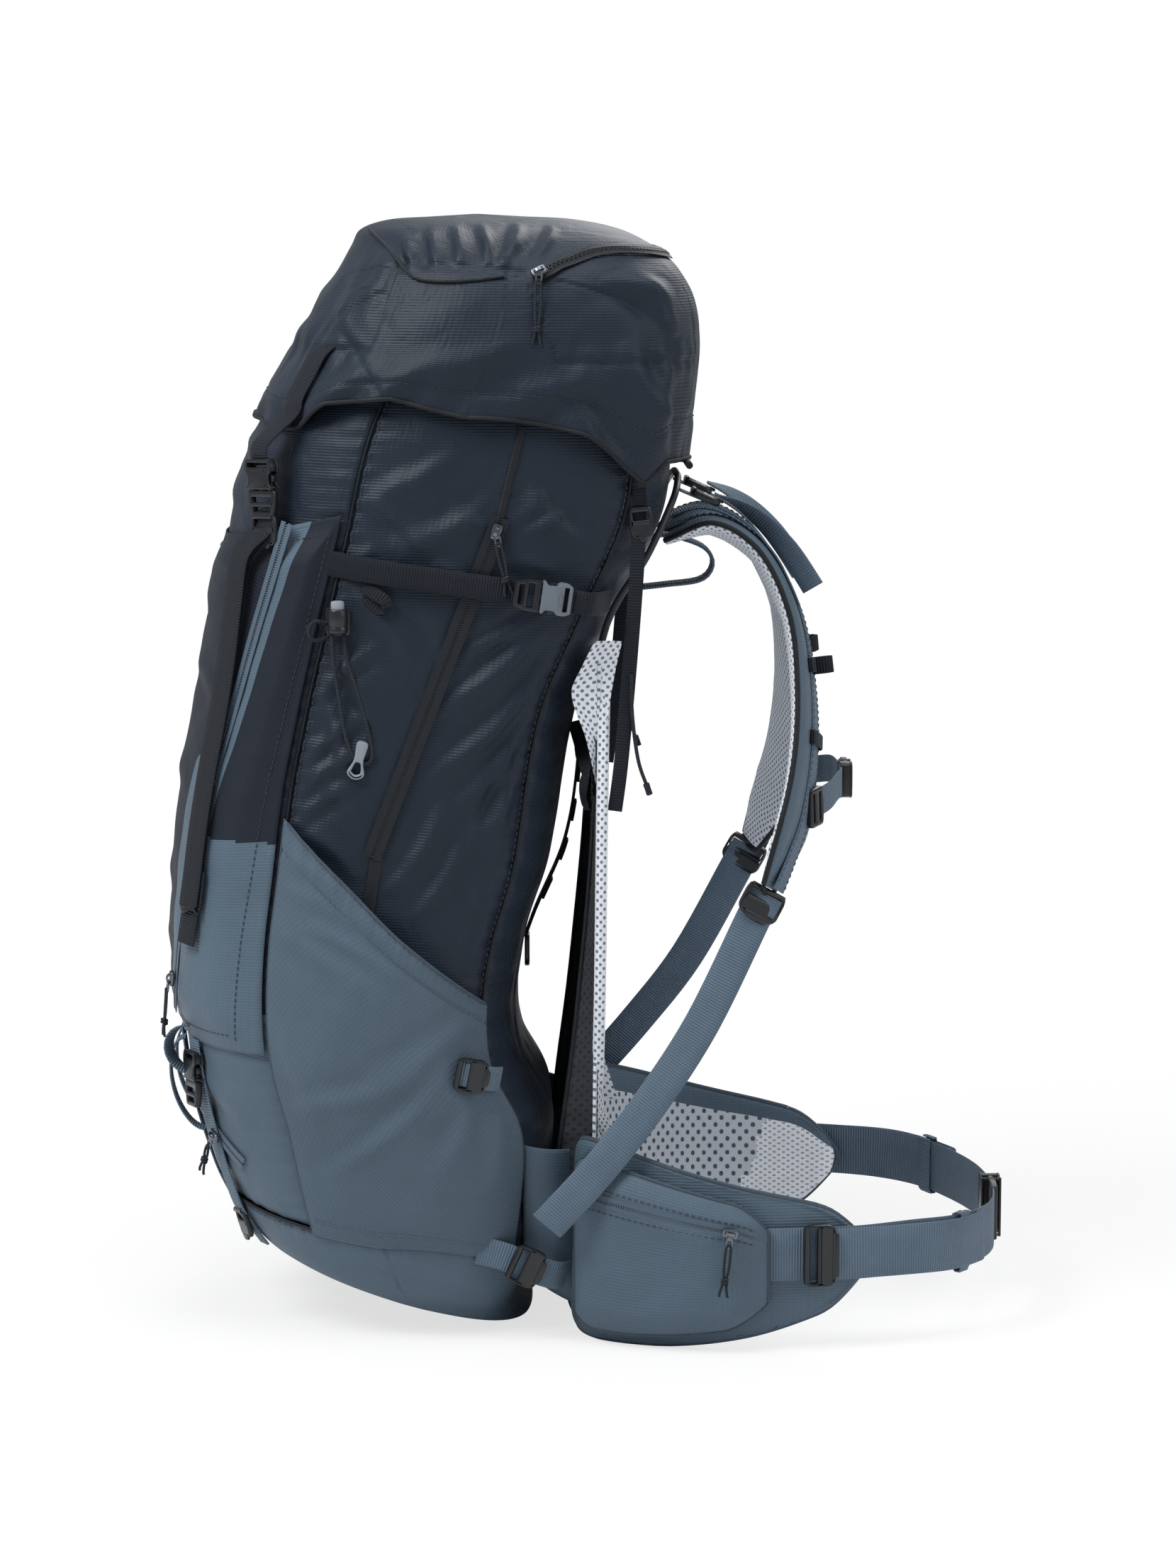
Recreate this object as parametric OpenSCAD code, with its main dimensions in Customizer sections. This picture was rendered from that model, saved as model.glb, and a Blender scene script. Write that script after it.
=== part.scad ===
// Hiking backpack of about 60 litres, standing on its base.
// X is the wearer's right, -Y is the outer front of the bag, +Y is the wearer's side, Z is up.
// The origin is the centre of the flat base patch. All lengths are millimetres.

/* [Bag] */
// Height of the bag's top rim
bag_h = 668; // [640:1:760]
// Width of the bag at its widest section
bag_w = 304; // [280:1:370]
// Reach of the bag's front ahead of the origin
front_d = 166; // [140:1:200]
// Reach of the bag's upper back behind the origin
rear_d = 186; // [160:1:224]
// Thickness of the shell fabric with its lining
fabric_t = 2.5; // [1.5:0.1:4]
// Thickness of the padded back panel
back_t = 5; // [3:0.5:8]
// Height of the floor between the two compartments
divider_h = 250; // [220:5:280]
// Thickness of the floor between the two compartments
divider_t = 1.6; // [1:0.2:4]
// Gap between pieces that are sewn to each other
seam_gap = 0.4; // [0.3:0.05:0.6]

/* [Base] */
// Width of the flat patch that the bag stands on
patch_w = 200; // [150:2:210]
// Depth of the flat patch that the bag stands on
patch_d = 112; // [90:2:114]
// Distance from the origin back to the middle of the flat patch
patch_y = 10; // [0:1:12]
// Thickness of the flat patch
patch_t = 3; // [2:0.5:5]

/* [Lid] */
// Height of the lid from its front hem to its crown
lid_h = 146; // [120:1:176]
// Thickness of the lid's fabric
lid_t = 2.6; // [1.5:0.1:4]
// Height of the hinge line below the rim
hinge_drop = 56; // [50:1:62]
// Radius of the piping that the lid turns on
piping_r = 2.5; // [2:0.1:3]

/* [Pockets] */
// Stand-off of the front pocket from the bag
front_pocket_d = 6; // [4:0.5:12]
// Depth of a side pocket's mouth
side_pocket_d = 15; // [10:0.5:22]
// Thickness of the pockets' fabric
pocket_t = 2; // [1:0.1:3]
// Width of a zipper with its tape
zip_w = 10; // [7:0.5:14]
// Thickness of a zipper with its tape
zip_t = 1.4; // [1:0.1:2]

/* [Webbing] */
// Width of the compression and lid webbing
strap_w = 20; // [15:1:25]
// Width of the lower shoulder webbing
harness_w = 25; // [20:1:30]
// Width of the hip belt webbing
belt_w = 38; // [32:1:46]
// Thickness of the webbing
web_t = 1.6; // [1.2:0.1:2]

/* [Harness] */
// Width of a shoulder pad
shoulder_w = 66; // [54:1:80]
// Thickness of a shoulder pad
shoulder_t = 13; // [9:0.5:16]
// Thickness of a hip fin's pad
fin_t = 13; // [9:0.5:16]
// Depth of a hip fin's zipped pocket
fin_pocket_d = 14; // [8:0.5:18]
// Diameter of the spring-steel frame rod
rod_d = 5; // [4:0.2:7]
// Thickness of the back mesh
mesh_t = 3; // [2:0.2:5]
// Half the width between the two hip fins' fold lines
fold_x = 100; // [92:1:108]
// Radius of the fold that each hip fin turns on
fold_r = 4; // [3:0.2:5]

/* [Buckles] */
// Wall of the side-release buckles
buckle_wall = 1.6; // [1.2:0.1:2.2]
// Clearance between the halves of a buckle
buckle_gap = 1; // [0.8:0.05:1.4]
// Length of a buckle's prongs inside the socket
prong_in = 11; // [8:0.5:14]
// Gap between a moving piece and what it runs on
run_gap = 0.4; // [0.3:0.05:0.6]

/* [Hidden] */

slate = "#3b4855";
charcoal = "#22272e";
black = "#111316";
metal = "#55585c";
mesh_grey = "#c9ccd0";

// The harness and trim points below are given on a bag of these standard sizes, and follow it.
standard_h = 668;
standard_w = 304;
standard_rear = 186;

function pt(x, y, z) = [x * bag_w / standard_w, y * rear_d / standard_rear, z * bag_h / standard_h];
function up(z) = z * bag_h / standard_h;

// ---- Curves and grids ----

function mix(a, b, t) = a + (b - a) * t;
function unit(v) = v / norm(v);
function power(v, e) = v == 0 ? 0 : sign(v) * pow(abs(v), e);

// A smooth curve through the rows [position, value] of a table, as cubic pieces
function row_of(rows, f, i = 0) =
    i >= len(rows) - 2 || f < rows[i + 1][0] ? i : row_of(rows, f, i + 1);
function slope_of(rows, i) =
    let (a = max(i - 1, 0), b = min(i + 1, len(rows) - 1))
    (rows[b][1] - rows[a][1]) / (rows[b][0] - rows[a][0]);
function curve(rows, f) =
    let (i = row_of(rows, f), w = rows[i + 1][0] - rows[i][0],
        t = min(1, max(0, (f - rows[i][0]) / w)),
        a = rows[i][1], b = rows[i + 1][1],
        da = slope_of(rows, i) * w, db = slope_of(rows, i + 1) * w)
    a * (2 * t * t * t - 3 * t * t + 1) + da * (t * t * t - 2 * t * t + t)
    + b * (3 * t * t - 2 * t * t * t) + db * (t * t * t - t * t);

// A smooth route through a list of points, with steps points between each pair
function route(p, steps) =
    let (last = len(p) - 1)
    [for (i = [0:last - 1], s = [0:steps - 1]) route_point(p, i, s / steps), p[last]];
function route_point(p, i, t) =
    let (last = len(p) - 1, a = p[i], b = p[i + 1],
        da = (b - p[max(i - 1, 0)]) / 2, db = (p[min(i + 2, last)] - a) / 2)
    a * (2 * t * t * t - 3 * t * t + 1) + da * (t * t * t - 2 * t * t + t)
    + b * (3 * t * t - 2 * t * t * t) + db * (t * t * t - t * t);

// Closed panel between an outer and an inner surface, each a function of u and v from 0 to 1;
// the outer surface faces the side from which u runs to the right when v runs up
module panel(outer, inner, nu, nv) {
    pts = [for (f = [outer, inner], j = [0:nv], i = [0:nu]) f(i / nu, j / nv)];
    n = (nu + 1) * (nv + 1);
    function at(i, j) = j * (nu + 1) + i;
    skin = [for (j = [0:nv - 1], i = [0:nu - 1]) each [
        [at(i, j), at(i, j + 1), at(i + 1, j + 1)], [at(i, j), at(i + 1, j + 1), at(i + 1, j)]]];
    back = [for (f = skin) [f[2] + n, f[1] + n, f[0] + n]];
    rim = concat([for (i = [0:nu]) at(i, 0)], [for (j = [1:nv]) at(nu, j)],
        [for (i = [1:nu]) at(nu - i, nv)], [for (j = [1:nv - 1]) at(0, nv - j)]);
    m = len(rim);
    edge = [for (k = [0:m - 1]) each [
        [rim[k], rim[(k + 1) % m], rim[(k + 1) % m] + n], [rim[k], rim[(k + 1) % m] + n, rim[k] + n]]];
    polyhedron(pts, concat(skin, back, edge));
}

// The same, closed round in u; cap closes the top of both surfaces with a flat end
module shell(outer, inner, nu, nv, cap = false) {
    pts = [for (f = [outer, inner], j = [0:nv], i = [0:nu - 1]) f(i / nu, j / nv)];
    n = nu * (nv + 1);
    function at(i, j) = j * nu + i % nu;
    skin = [for (j = [0:nv - 1], i = [0:nu - 1]) each [
        [at(i, j), at(i, j + 1), at(i + 1, j + 1)], [at(i, j), at(i + 1, j + 1), at(i + 1, j)]]];
    back = [for (f = skin) [f[2] + n, f[1] + n, f[0] + n]];
    foot = [for (i = [0:nu - 1]) each [
        [at(i, 0), at(i + 1, 0), at(i + 1, 0) + n], [at(i, 0), at(i + 1, 0) + n, at(i, 0) + n]]];
    brim = [for (i = [0:nu - 1]) each [
        [at(i + 1, nv), at(i, nv), at(i, nv) + n], [at(i + 1, nv), at(i, nv) + n, at(i + 1, nv) + n]]];
    lids = [[for (i = [0:nu - 1]) at(nu - 1 - i, nv)], [for (i = [0:nu - 1]) at(i, nv) + n]];
    polyhedron(pts, concat(skin, back, foot, cap ? lids : brim));
}

// Section carried along a route; side gives the direction of the section's first axis,
// as one vector or as one for each point of the route
function frame_at(p, side, i) =
    let (last = len(p) - 1, along = unit(p[min(i + 1, last)] - p[max(i - 1, 0)]),
        s = is_list(side[0]) ? side[i] : side, across = unit(s - (s * along) * along))
    [across, cross(along, across)];
module sweep(p, side, section) {
    k = len(section);
    last = len(p) - 1;
    pts = [for (i = [0:last]) let (f = frame_at(p, side, i))
        each [for (c = section) p[i] + f[0] * c[0] + f[1] * c[1]]];
    walls = [for (i = [0:last - 1], j = [0:k - 1]) let (a = i * k + j, b = i * k + (j + 1) % k)
        each [[a, b + k, b], [a, a + k, b + k]]];
    ends = [[for (j = [0:k - 1]) j], [for (j = [0:k - 1]) last * k + k - 1 - j]];
    polyhedron(pts, concat(walls, ends));
}
module strap(p, side, w) {
    sweep(p, side, [[-w / 2, -web_t / 2], [w / 2, -web_t / 2], [w / 2, web_t / 2], [-w / 2, web_t / 2]]);
}
module wire(p, side, d, sides = 8) {
    sweep(p, side, [for (i = [0:sides - 1]) d / 2 * [cos(360 * i / sides), sin(360 * i / sides)]]);
}
module pad(p, side, w, t) {
    sweep(p, side, [for (c = [[-1, -0.3], [-0.8, -1], [0, -1], [0.8, -1], [1, -0.3],
        [1, 0.3], [0.8, 1], [0, 1], [-0.8, 1], [-1, 0.3]]) [c[0] * w / 2, c[1] * t / 2]]);
}

// Local axes: X along the first direction, Z as near as it can be to the second
module placed(origin, along, out) {
    x = unit(along);
    y = unit(cross(out, x));
    z = cross(x, y);
    multmatrix([[x[0], y[0], z[0], origin[0]], [x[1], y[1], z[1], origin[1]],
        [x[2], y[2], z[2], origin[2]]]) children();
}
module both() {
    children();
    mirror([1, 0, 0]) children();
}

// ---- The bag's surface ----

front_shape = [[0, 0.27], [0.03, 0.45], [0.065, 0.61], [0.11, 0.77], [0.16, 0.86], [0.23, 0.94],
    [0.32, 0.99], [0.4, 1], [0.49, 0.985], [0.58, 0.945], [0.66, 0.88], [0.76, 0.82],
    [0.84, 0.775], [0.9, 0.73], [0.95, 0.65], [1, 0.52]];
rear_shape = [[0, 0.36], [0.08, 0.48], [0.18, 0.55], [0.23, 0.54], [0.29, 0.43], [0.35, 0.41],
    [0.42, 0.45], [0.5, 0.54], [0.66, 0.64], [0.76, 0.8], [0.86, 0.97], [0.92, 1], [1, 0.96]];
width_shape = [[0, 0.7], [0.04, 0.86], [0.1, 0.95], [0.2, 0.99], [0.35, 1], [0.55, 0.97],
    [0.8, 0.96], [0.94, 0.95], [1, 0.9]];
front_power = 2.3;
rear_power = 4;

function front_y(z) = -front_d * curve(front_shape, z / bag_h);
function rear_y(z) = rear_d * curve(rear_shape, z / bag_h);
function half_w(z) = bag_w / 2 * curve(width_shape, z / bag_h);
function mid_y(z) = (front_y(z) + rear_y(z)) / 2;
function half_d(z) = (rear_y(z) - front_y(z)) / 2;

// Point at angle a round the bag, where 0 is the right, 90 the back and 270 the front
function bag_pt(a, z, off) =
    let (e = 2 / (sin(a) < 0 ? front_power : rear_power))
    [(half_w(z) + off) * power(cos(a), e), mid_y(z) + (half_d(z) + off) * power(sin(a), e), z];
function on_front(x, z, off) =
    let (a = half_w(z) + off, b = half_d(z) + off)
    [x, mid_y(z) - b * pow(1 - pow(abs(x) / a, front_power), 1 / front_power), z];
function on_back(x, z, off) =
    let (a = half_w(z) + off, b = half_d(z) + off)
    [x, mid_y(z) + b * pow(1 - pow(abs(x) / a, rear_power), 1 / rear_power), z];
function on_side(y, z, off) =
    let (a = half_w(z) + off, b = half_d(z) + off, d = y - mid_y(z), n = d < 0 ? front_power : rear_power)
    [a * pow(1 - pow(abs(d) / b, n), 1 / n), y, z];

front_seam = 338;
rear_seam = 40;

// Height of the seam above the base panel: highest at the front, lowest at the back
function base_seam(a) = up(72 - 22 * sin(a));

// ---- Bag ----

// Outline of the flat patch, grown by off; the bowl starts just outside it, and rests its load on it
function patch_pt(a, off) = [(patch_w / 2 + off) * power(cos(a), 0.5), patch_y + (patch_d / 2 + off) * power(sin(a), 0.5)];
module base_patch() {
    color(slate) linear_extrude(patch_t) polygon([for (i = [0:39]) patch_pt(9 * i, 0)]);
}
module base_panel() {
    function bowl(u, v, off) =
        let (a = 360 * u, top = base_seam(a) - seam_gap, low = patch_t * 0.2, z = mix(low, top, v),
            wall = bag_pt(a, z, off - fabric_t), foot = patch_pt(a, off + seam_gap),
            f = pow(1 - v, 6))
        [mix(wall[0], foot[0], f), mix(wall[1], foot[1], f), z];
    color(slate) shell(function(u, v) bowl(u, v, fabric_t), function(u, v) bowl(u, v, 0), 40, 6);
}

module bag_wall(from, to, t, nu, nv) {
    half_gap = seam_gap / 2 / (bag_w / 2) * 57.3;
    function wall(u, v, off) =
        let (a = mix(from + half_gap, to - half_gap, u)) bag_pt(a, mix(base_seam(a), bag_h, v), off);
    panel(function(u, v) wall(u, v, 0), function(u, v) wall(u, v, -t), nu, nv);
}
module front_panel() {
    color(charcoal) bag_wall(180 + 360 - front_seam, front_seam, fabric_t, 12, 16);
}
module back_panel() {
    color(charcoal) bag_wall(rear_seam, 180 - rear_seam, back_t, 10, 16);
}
module side_panel(to_right) {
    color(charcoal) mirror([to_right ? 0 : 1, 0, 0])
        bag_wall(front_seam - 360, rear_seam, fabric_t, 8, 16);
}

module compartment_floor() {
    z = up(divider_h);
    color(charcoal) translate([0, 0, z]) linear_extrude(divider_t)
        polygon([for (i = [0:35]) let (p = bag_pt(i * 10, z, -back_t - 0.6)) [p[0], p[1]]]);
}

mouth_r = 76;
mouth_y = 38;
collar_rise = 36;
function mouth_z() = bag_h + collar_rise * 0.6;
module snow_collar() {
    low = bag_h - collar_rise;
    function cloth(u, v, off) =
        let (a = 360 * u, rim = bag_pt(a, low, off - back_t - seam_gap),
            throat = [(mouth_r + off) * cos(a), mouth_y + (mouth_r + off) * sin(a)],
            f = v < 0.4 ? 0 : pow((v - 0.4) / 0.6, 1.3),
            z = v < 0.4 ? mix(low, bag_h - 8, v / 0.4) : mix(bag_h - 8, mouth_z(), sin(90 * (v - 0.4) / 0.6)),
            side = bag_pt(a, min(z, bag_h), off - back_t - seam_gap))
        [mix(side[0], throat[0], f), mix(side[1], throat[1], f), z];
    color(charcoal) shell(function(u, v) cloth(u, v, 0), function(u, v) cloth(u, v, -1), 36, 6);
}
cord_d = 4;
lock_size = [16, 11, 9];
function drawcord_z() = mouth_z() + cord_d / 2 + 1.6;
module collar_drawcord() {
    color(black) translate([0, mouth_y, drawcord_z()])
        rotate_extrude($fn = 72) translate([mouth_r, 0]) circle(cord_d / 2, $fn = 16);
}
module collar_cord_lock() {
    bore_r = cord_d / 2 + 0.8;
    color(black) translate([0, mouth_y - mouth_r, drawcord_z()]) difference() {
        translate([0, 0, lock_size[2] / 2 - bore_r - 0.5]) cube(lock_size, center = true);
        rotate([0, 90, 0]) cylinder(r = bore_r, h = lock_size[0] + 2, center = true, $fn = 32);
    }
}

// ---- Pockets ----

front_pocket_low = 205;
front_pocket_top = 561;
front_pocket_lift = 26;
module front_pocket() {
    left = 180 + 360 - front_seam + 1.4;
    right = front_seam - 1.4;
    // The cloth is sewn down at its edges and stands off by the pocket's depth inside them
    function lift(u, v) = min(1, 14 * u, 14 * (1 - u), 12 * v, 12 * (1 - v));
    function cloth(u, v, off) =
        let (a = mix(left, right, u), top = up(front_pocket_top + front_pocket_lift * pow(cos(a), 2)))
        bag_pt(a, mix(up(front_pocket_low), top, v), off + seam_gap + front_pocket_d * lift(u, v));
    color(slate) panel(function(u, v) cloth(u, v, pocket_t), function(u, v) cloth(u, v, 0), 14, 12);
}

// Outer face of a side pocket: sewn down at its sides and bottom, open at the top
function side_hem(y) = up(curve([[-110, 384], [-60, 336], [-10, 286], [52, 240], [90, 222]], y));
module side_pocket() {
    function lift(u, v) = sin(180 * min(1, max(0, u))) * pow(v, 0.7);
    function cloth(u, v, off) =
        let (a = mix(front_seam - 360 + 1, rear_seam - 0.6, u), low = base_seam(a) - 4,
            foot = bag_pt(a, up(250), 0), top = side_hem(foot[1]), z = mix(low, top, v))
        bag_pt(a, z, off + 3 * seam_gap + side_pocket_d * lift(u, v));
    panel(function(u, v) cloth(u, v, pocket_t), function(u, v) cloth(u, v, 0), 12, 10);
}
module side_pocket_right() {
    color(slate) side_pocket();
}
module side_pocket_left() {
    color(slate) mirror([1, 0, 0]) side_pocket();
}

// ---- Zippers ----

zip_lift = seam_gap + zip_t / 2;

// Slanting zipper beside the dark middle of the front pocket
front_zip_low = 232;
front_zip_top = 572;
function front_zip_x(z) = curve([[205, 56], [300, 84], [400, 106], [510, 119], [588, 126]], z) * bag_w / standard_w;
function front_zip_off() = front_pocket_d + pocket_t + seam_gap;
function front_zip_pt(z, off) = on_front(front_zip_x(z), up(z), front_zip_off() + off);
function front_across(z) =
    let (x = front_zip_x(z)) unit(on_front(x + 2, up(z), front_zip_off()) - on_front(x - 2, up(z), front_zip_off()));

// Side access zipper, nearly straight down the side panel
function side_zip_pt(t, off) = on_side(mix(66, -24, t) * rear_d / standard_rear, up(mix(579, 345, t)), off);

// Curved zipper of the lower compartment, across the foot of the front
function bottom_zip_pt(x, off) = on_front(x, up(112 + 58 * (1 - pow(x / (0.4 * bag_w), 2))), off);

module zip_tape(p, side) {
    sweep(p, side, [[-zip_w / 2, -zip_t / 2], [zip_w / 2, -zip_t / 2], [zip_w / 2, 0],
        [zip_w / 5, zip_t / 2], [-zip_w / 5, zip_t / 2], [-zip_w / 2, 0]]);
}
module bag_zippers() {
    front = [for (i = [0:14]) mix(front_zip_low, front_zip_top, i / 14)];
    bottom = [for (i = [-10:10]) i / 10 * 0.36 * bag_w];
    color(slate) both()
        zip_tape([for (z = front) front_zip_pt(z, zip_lift + 0.3)], [for (z = front) front_across(z)]);
    color(charcoal) both()
        zip_tape([for (i = [0:10]) side_zip_pt(i / 10, zip_lift + 0.4)], [0, -1, 0]);
    color(slate) zip_tape([for (x = bottom) bottom_zip_pt(x, zip_lift + 0.5)],
        [for (x = bottom) [0, 0.2, -1]]);
}

// Slider and its pull, lying on a zipper along local X with its top up local Z
slider_l = 11;
slider_h = 3.2;
pull_l = 22;
module slider() {
    color(metal) {
        translate([-slider_l / 2, -3.6, 0]) cube([slider_l, 7.2, slider_h]);
        translate([-slider_l / 2 - pull_l + 4, -2, slider_h]) difference() {
            cube([pull_l, 4, 1.2]);
            translate([4, 2, -1]) cylinder(r = 1.3, h = 4, $fn = 24);
        }
    }
}
module front_slider() {
    z = front_zip_low + 14;
    placed(front_zip_pt(z, zip_lift + zip_t / 2 + 0.3 + run_gap), front_zip_pt(z + 10, 0) - front_zip_pt(z, 0),
        cross(front_across(z), [0, 0, 1])) slider();
}
module front_slider_right() {
    front_slider();
}
module front_slider_left() {
    mirror([1, 0, 0]) front_slider();
}
module side_slider() {
    top = side_zip_pt(0.04, zip_lift + zip_t / 2 + 0.4 + run_gap);
    placed(top, side_zip_pt(0, 0) - side_zip_pt(1, 0), [1, 0, 0]) slider();
}
module side_slider_right() {
    side_slider();
}
module side_slider_left() {
    mirror([1, 0, 0]) side_slider();
}
module bottom_slider() {
    x = 0.3 * bag_w;
    lift = zip_lift + zip_t / 2 + 0.5 + run_gap;
    placed(bottom_zip_pt(x, lift + 0.8), bottom_zip_pt(x, 0) - bottom_zip_pt(x - 30, 0), [0.62, -1, -0.2]) slider();
}

// ---- Lid ----

// Rise, front, back and half width of the lid's rings, as shares of its own sizes
lid_rows = [[0, 1, 0.961, 0.987], [0.165, 0.92, 0.99, 1], [0.37, 0.76, 1, 0.994],
    [0.575, 0.6, 0.99, 0.96], [0.745, 0.46, 0.937, 0.89], [0.86, 0.37, 0.85, 0.76],
    [0.94, 0.31, 0.73, 0.59], [0.985, 0.145, 0.575, 0.375], [1, -0.09, 0.415, 0.17]];
lid_rings = len(lid_rows) - 1;
// Height of the hem round the lid, from the front at -90 degrees to the back at 90
hem_rows = [[-90, 8], [-60, 2], [-48, 2], [-36, 20], [-17, 24], [15, 0], [38, -36], [51, -21], [90, -21]];
hem_reach = 2.2;

function lid_z0() = bag_h - 32;
function lid_front_d() = front_d * 0.663;
function lid_rear_d() = rear_d + 19;
function lid_half() = bag_w / 2 + 3;
function lid_row(v, k) = let (i = min(lid_rings - 1, floor(v * lid_rings))) mix(lid_rows[i][k], lid_rows[i + 1][k], v * lid_rings - i);
function lid_mid(v) = (lid_rear_d() * lid_row(v, 2) - lid_front_d() * lid_row(v, 1)) / 2;
function lid_deep(v) = (lid_rear_d() * lid_row(v, 2) + lid_front_d() * lid_row(v, 1)) / 2;
function lid_z(v) = lid_z0() + lid_h * lid_row(v, 0);
function lid_hem(a, v) = lookup(asin(sin(a)), hem_rows) * max(0, 1 - v * lid_rings / hem_reach);
function lid_pt(a, v, off) =
    let (e = 2 / (sin(a) < 0 ? front_power : rear_power))
    [(lid_half() * lid_row(v, 3) + off) * power(cos(a), e), lid_mid(v) + (lid_deep(v) + off) * power(sin(a), e),
        lid_z(v) + lid_hem(a, v) + off * v * v];
function lid_on_front(x, v, off) =
    [x, lid_mid(v) - (lid_deep(v) + off)
        * pow(1 - pow(abs(x) / (lid_half() * lid_row(v, 3) + off), front_power), 1 / front_power), lid_z(v)];

hinge_y = lid_rear_d() * lid_rows[0][2] - lid_t / 2;
hinge_z = bag_h - hinge_drop;
function hinge_tangent(p) = unit([0, p[2] - hinge_z, hinge_y - p[1]]);

module lid_shell() {
    color(charcoal) shell(function(u, v) lid_pt(360 * u, v, 0), function(u, v) lid_pt(360 * u, v, -lid_t),
        48, lid_rings, true);
}
floor_row = 0.2;
floor_rise = 46;
module lid_floor() {
    function dome(u, v, off) =
        let (wall = lid_pt(360 * u, floor_row, -lid_t - 1.8), r = 1 - 0.96 * v)
        [wall[0] * r, mix(mouth_y, wall[1], r), mix(lid_z(floor_row) + 4, wall[2], pow(r, 3)) + floor_rise * (1 - r * r) + off];
    color(charcoal) shell(function(u, v) dome(u, v, 1.4), function(u, v) dome(u, v, 0), 36, 5, true);
}
// The zipper climbs from the middle of each side over the top's rear corners
lid_zip_rows = [[0, 0.47], [2, 0.5], [6, 0.545], [18, 0.6], [40, 0.61], [90, 0.58]];
function lid_zip_row(a) = curve(lid_zip_rows, a > 90 ? 180 - a : a);
function lid_zip_pt(a, off) = lid_pt(a, lid_zip_row(a), off);
function lid_zip_side(a) = lid_pt(a, lid_zip_row(a) + 0.03, 0) - lid_pt(a, lid_zip_row(a) - 0.03, 0);
module lid_zipper() {
    turns = [for (i = [0:36]) 90 - 89 * cos(i / 36 * 180)];
    color(slate) zip_tape([for (a = turns) lid_zip_pt(a, zip_lift + 0.5)], [for (a = turns) lid_zip_side(a)]);
}
module lid_slider() {
    a = 1.6;
    along = lid_zip_pt(a + 1, 0) - lid_zip_pt(a, 0);
    placed(lid_zip_pt(a, zip_lift + zip_t / 2 + 0.9 + run_gap), along, cross(along, lid_zip_side(a))) slider();
}
module lid_hinge_piping() {
    w = lid_half() * 1.4;
    tape_w = lid_half() * 0.75;
    tape_from = rear_y(hinge_z) + seam_gap;
    color(charcoal) {
        translate([-w / 2, hinge_y, hinge_z]) rotate([0, 90, 0]) cylinder(r = piping_r, h = w, $fn = 32);
        translate([-tape_w / 2, tape_from, hinge_z - 0.8]) cube([tape_w, hinge_y - tape_from, 1.6]);
    }
}

// ---- Buckles and locks: local X is the way that the plug leaves, local Y the width ----

buckle_h = 9;
socket_tail = 9;
plug_l = 19;
function socket_l() = prong_in + buckle_gap + socket_tail;
module socket(w, h) {
    outer_w = w + 4 * buckle_wall;
    depth = prong_in + buckle_gap;
    difference() {
        translate([-socket_l(), -outer_w / 2, -h / 2]) cube([socket_l(), outer_w, h]);
        translate([-depth, -outer_w / 2 + buckle_wall, -h / 2 + buckle_wall])
            cube([depth + 1, outer_w - 2 * buckle_wall, h - 2 * buckle_wall]);
        for (y = [-1, 1]) translate([-depth + 2, y * outer_w / 2 - 2, -h / 5]) cube([depth - 5, 4, h / 2.5]);
        translate([-socket_l() + 2.6, -w / 2 - 0.4, -h]) cube([3.2, w + 0.8, 2 * h]);
    }
}
module plug(w, prong_h) {
    outer_w = w + 4 * buckle_wall;
    prong_w = 3.4;
    reach = outer_w / 2 - buckle_wall - buckle_gap - prong_w;
    difference() {
        translate([run_gap, -outer_w / 2, -2.5]) cube([plug_l - run_gap, outer_w, 5]);
        for (x = [5.5, 12]) translate([x, -w / 2 - 0.4, -3]) cube([4, w + 0.8, 6]);
    }
    for (y = [-1, 1]) translate([-prong_in, y > 0 ? reach : -reach - prong_w, -prong_h / 2])
        cube([prong_in + 1, prong_w, prong_h]);
    translate([-0.7 * prong_in, -2, -prong_h / 2]) cube([0.7 * prong_in + 1, 4, prong_h]);
}
function prong_h() = buckle_h - 2 * buckle_wall - 2 * buckle_gap;
// Ladder lock: a frame with two slots round a middle bar
module ladder_lock(w, h) {
    difference() {
        translate([-11, -w / 2 - 3, -h / 2]) cube([22, w + 6, h]);
        for (x = [-7.5, 2]) translate([x, -w / 2 - 0.4, -h]) cube([5.5, w + 0.8, 2 * h]);
    }
}

// Lid strap and its buckle, on the slanting shoulder of the front
lid_strap_x = 103;
lid_buckle_z = 594;
function lid_buckle_base() = on_front(lid_strap_x * bag_w / standard_w, up(lid_buckle_z), 0)
    + lid_buckle_out() * (front_pocket_d + pocket_t + buckle_h / 2 + 2);
function front_out(x, z, off) =
    unit(cross(on_front(x + 2, z, off) - on_front(x - 2, z, off), on_front(x, z + 2, off) - on_front(x, z - 2, off)));
function lid_buckle_out() = front_out(lid_strap_x * bag_w / standard_w, up(lid_buckle_z), 0);
module lid_buckle() {
    base = lid_buckle_base();
    placed(base, -hinge_tangent(base), lid_buckle_out()) children();
}
module lid_straps() {
    x = lid_strap_x * bag_w / standard_w;
    base = lid_buckle_base();
    rows = [0.36, 0.3, 0.24, 0.18, 0.12, 0.06];
    across = lid_on_front(x + 2, 0.1, 0) - lid_on_front(x - 2, 0.1, 0);
    end = base + hinge_tangent(base) * (socket_l() + seam_gap);
    color(black) both() strap(concat([for (v = rows) lid_on_front(x, v, web_t / 2 + 1.2)],
        [end + hinge_tangent(base) * 9, end]), across, strap_w);
}
module lid_buckle_sockets() {
    color(black) both() lid_buckle() socket(strap_w, buckle_h);
}
module lid_buckle_plugs() {
    color(black) both() lid_buckle() plug(strap_w, prong_h());
}
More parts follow.
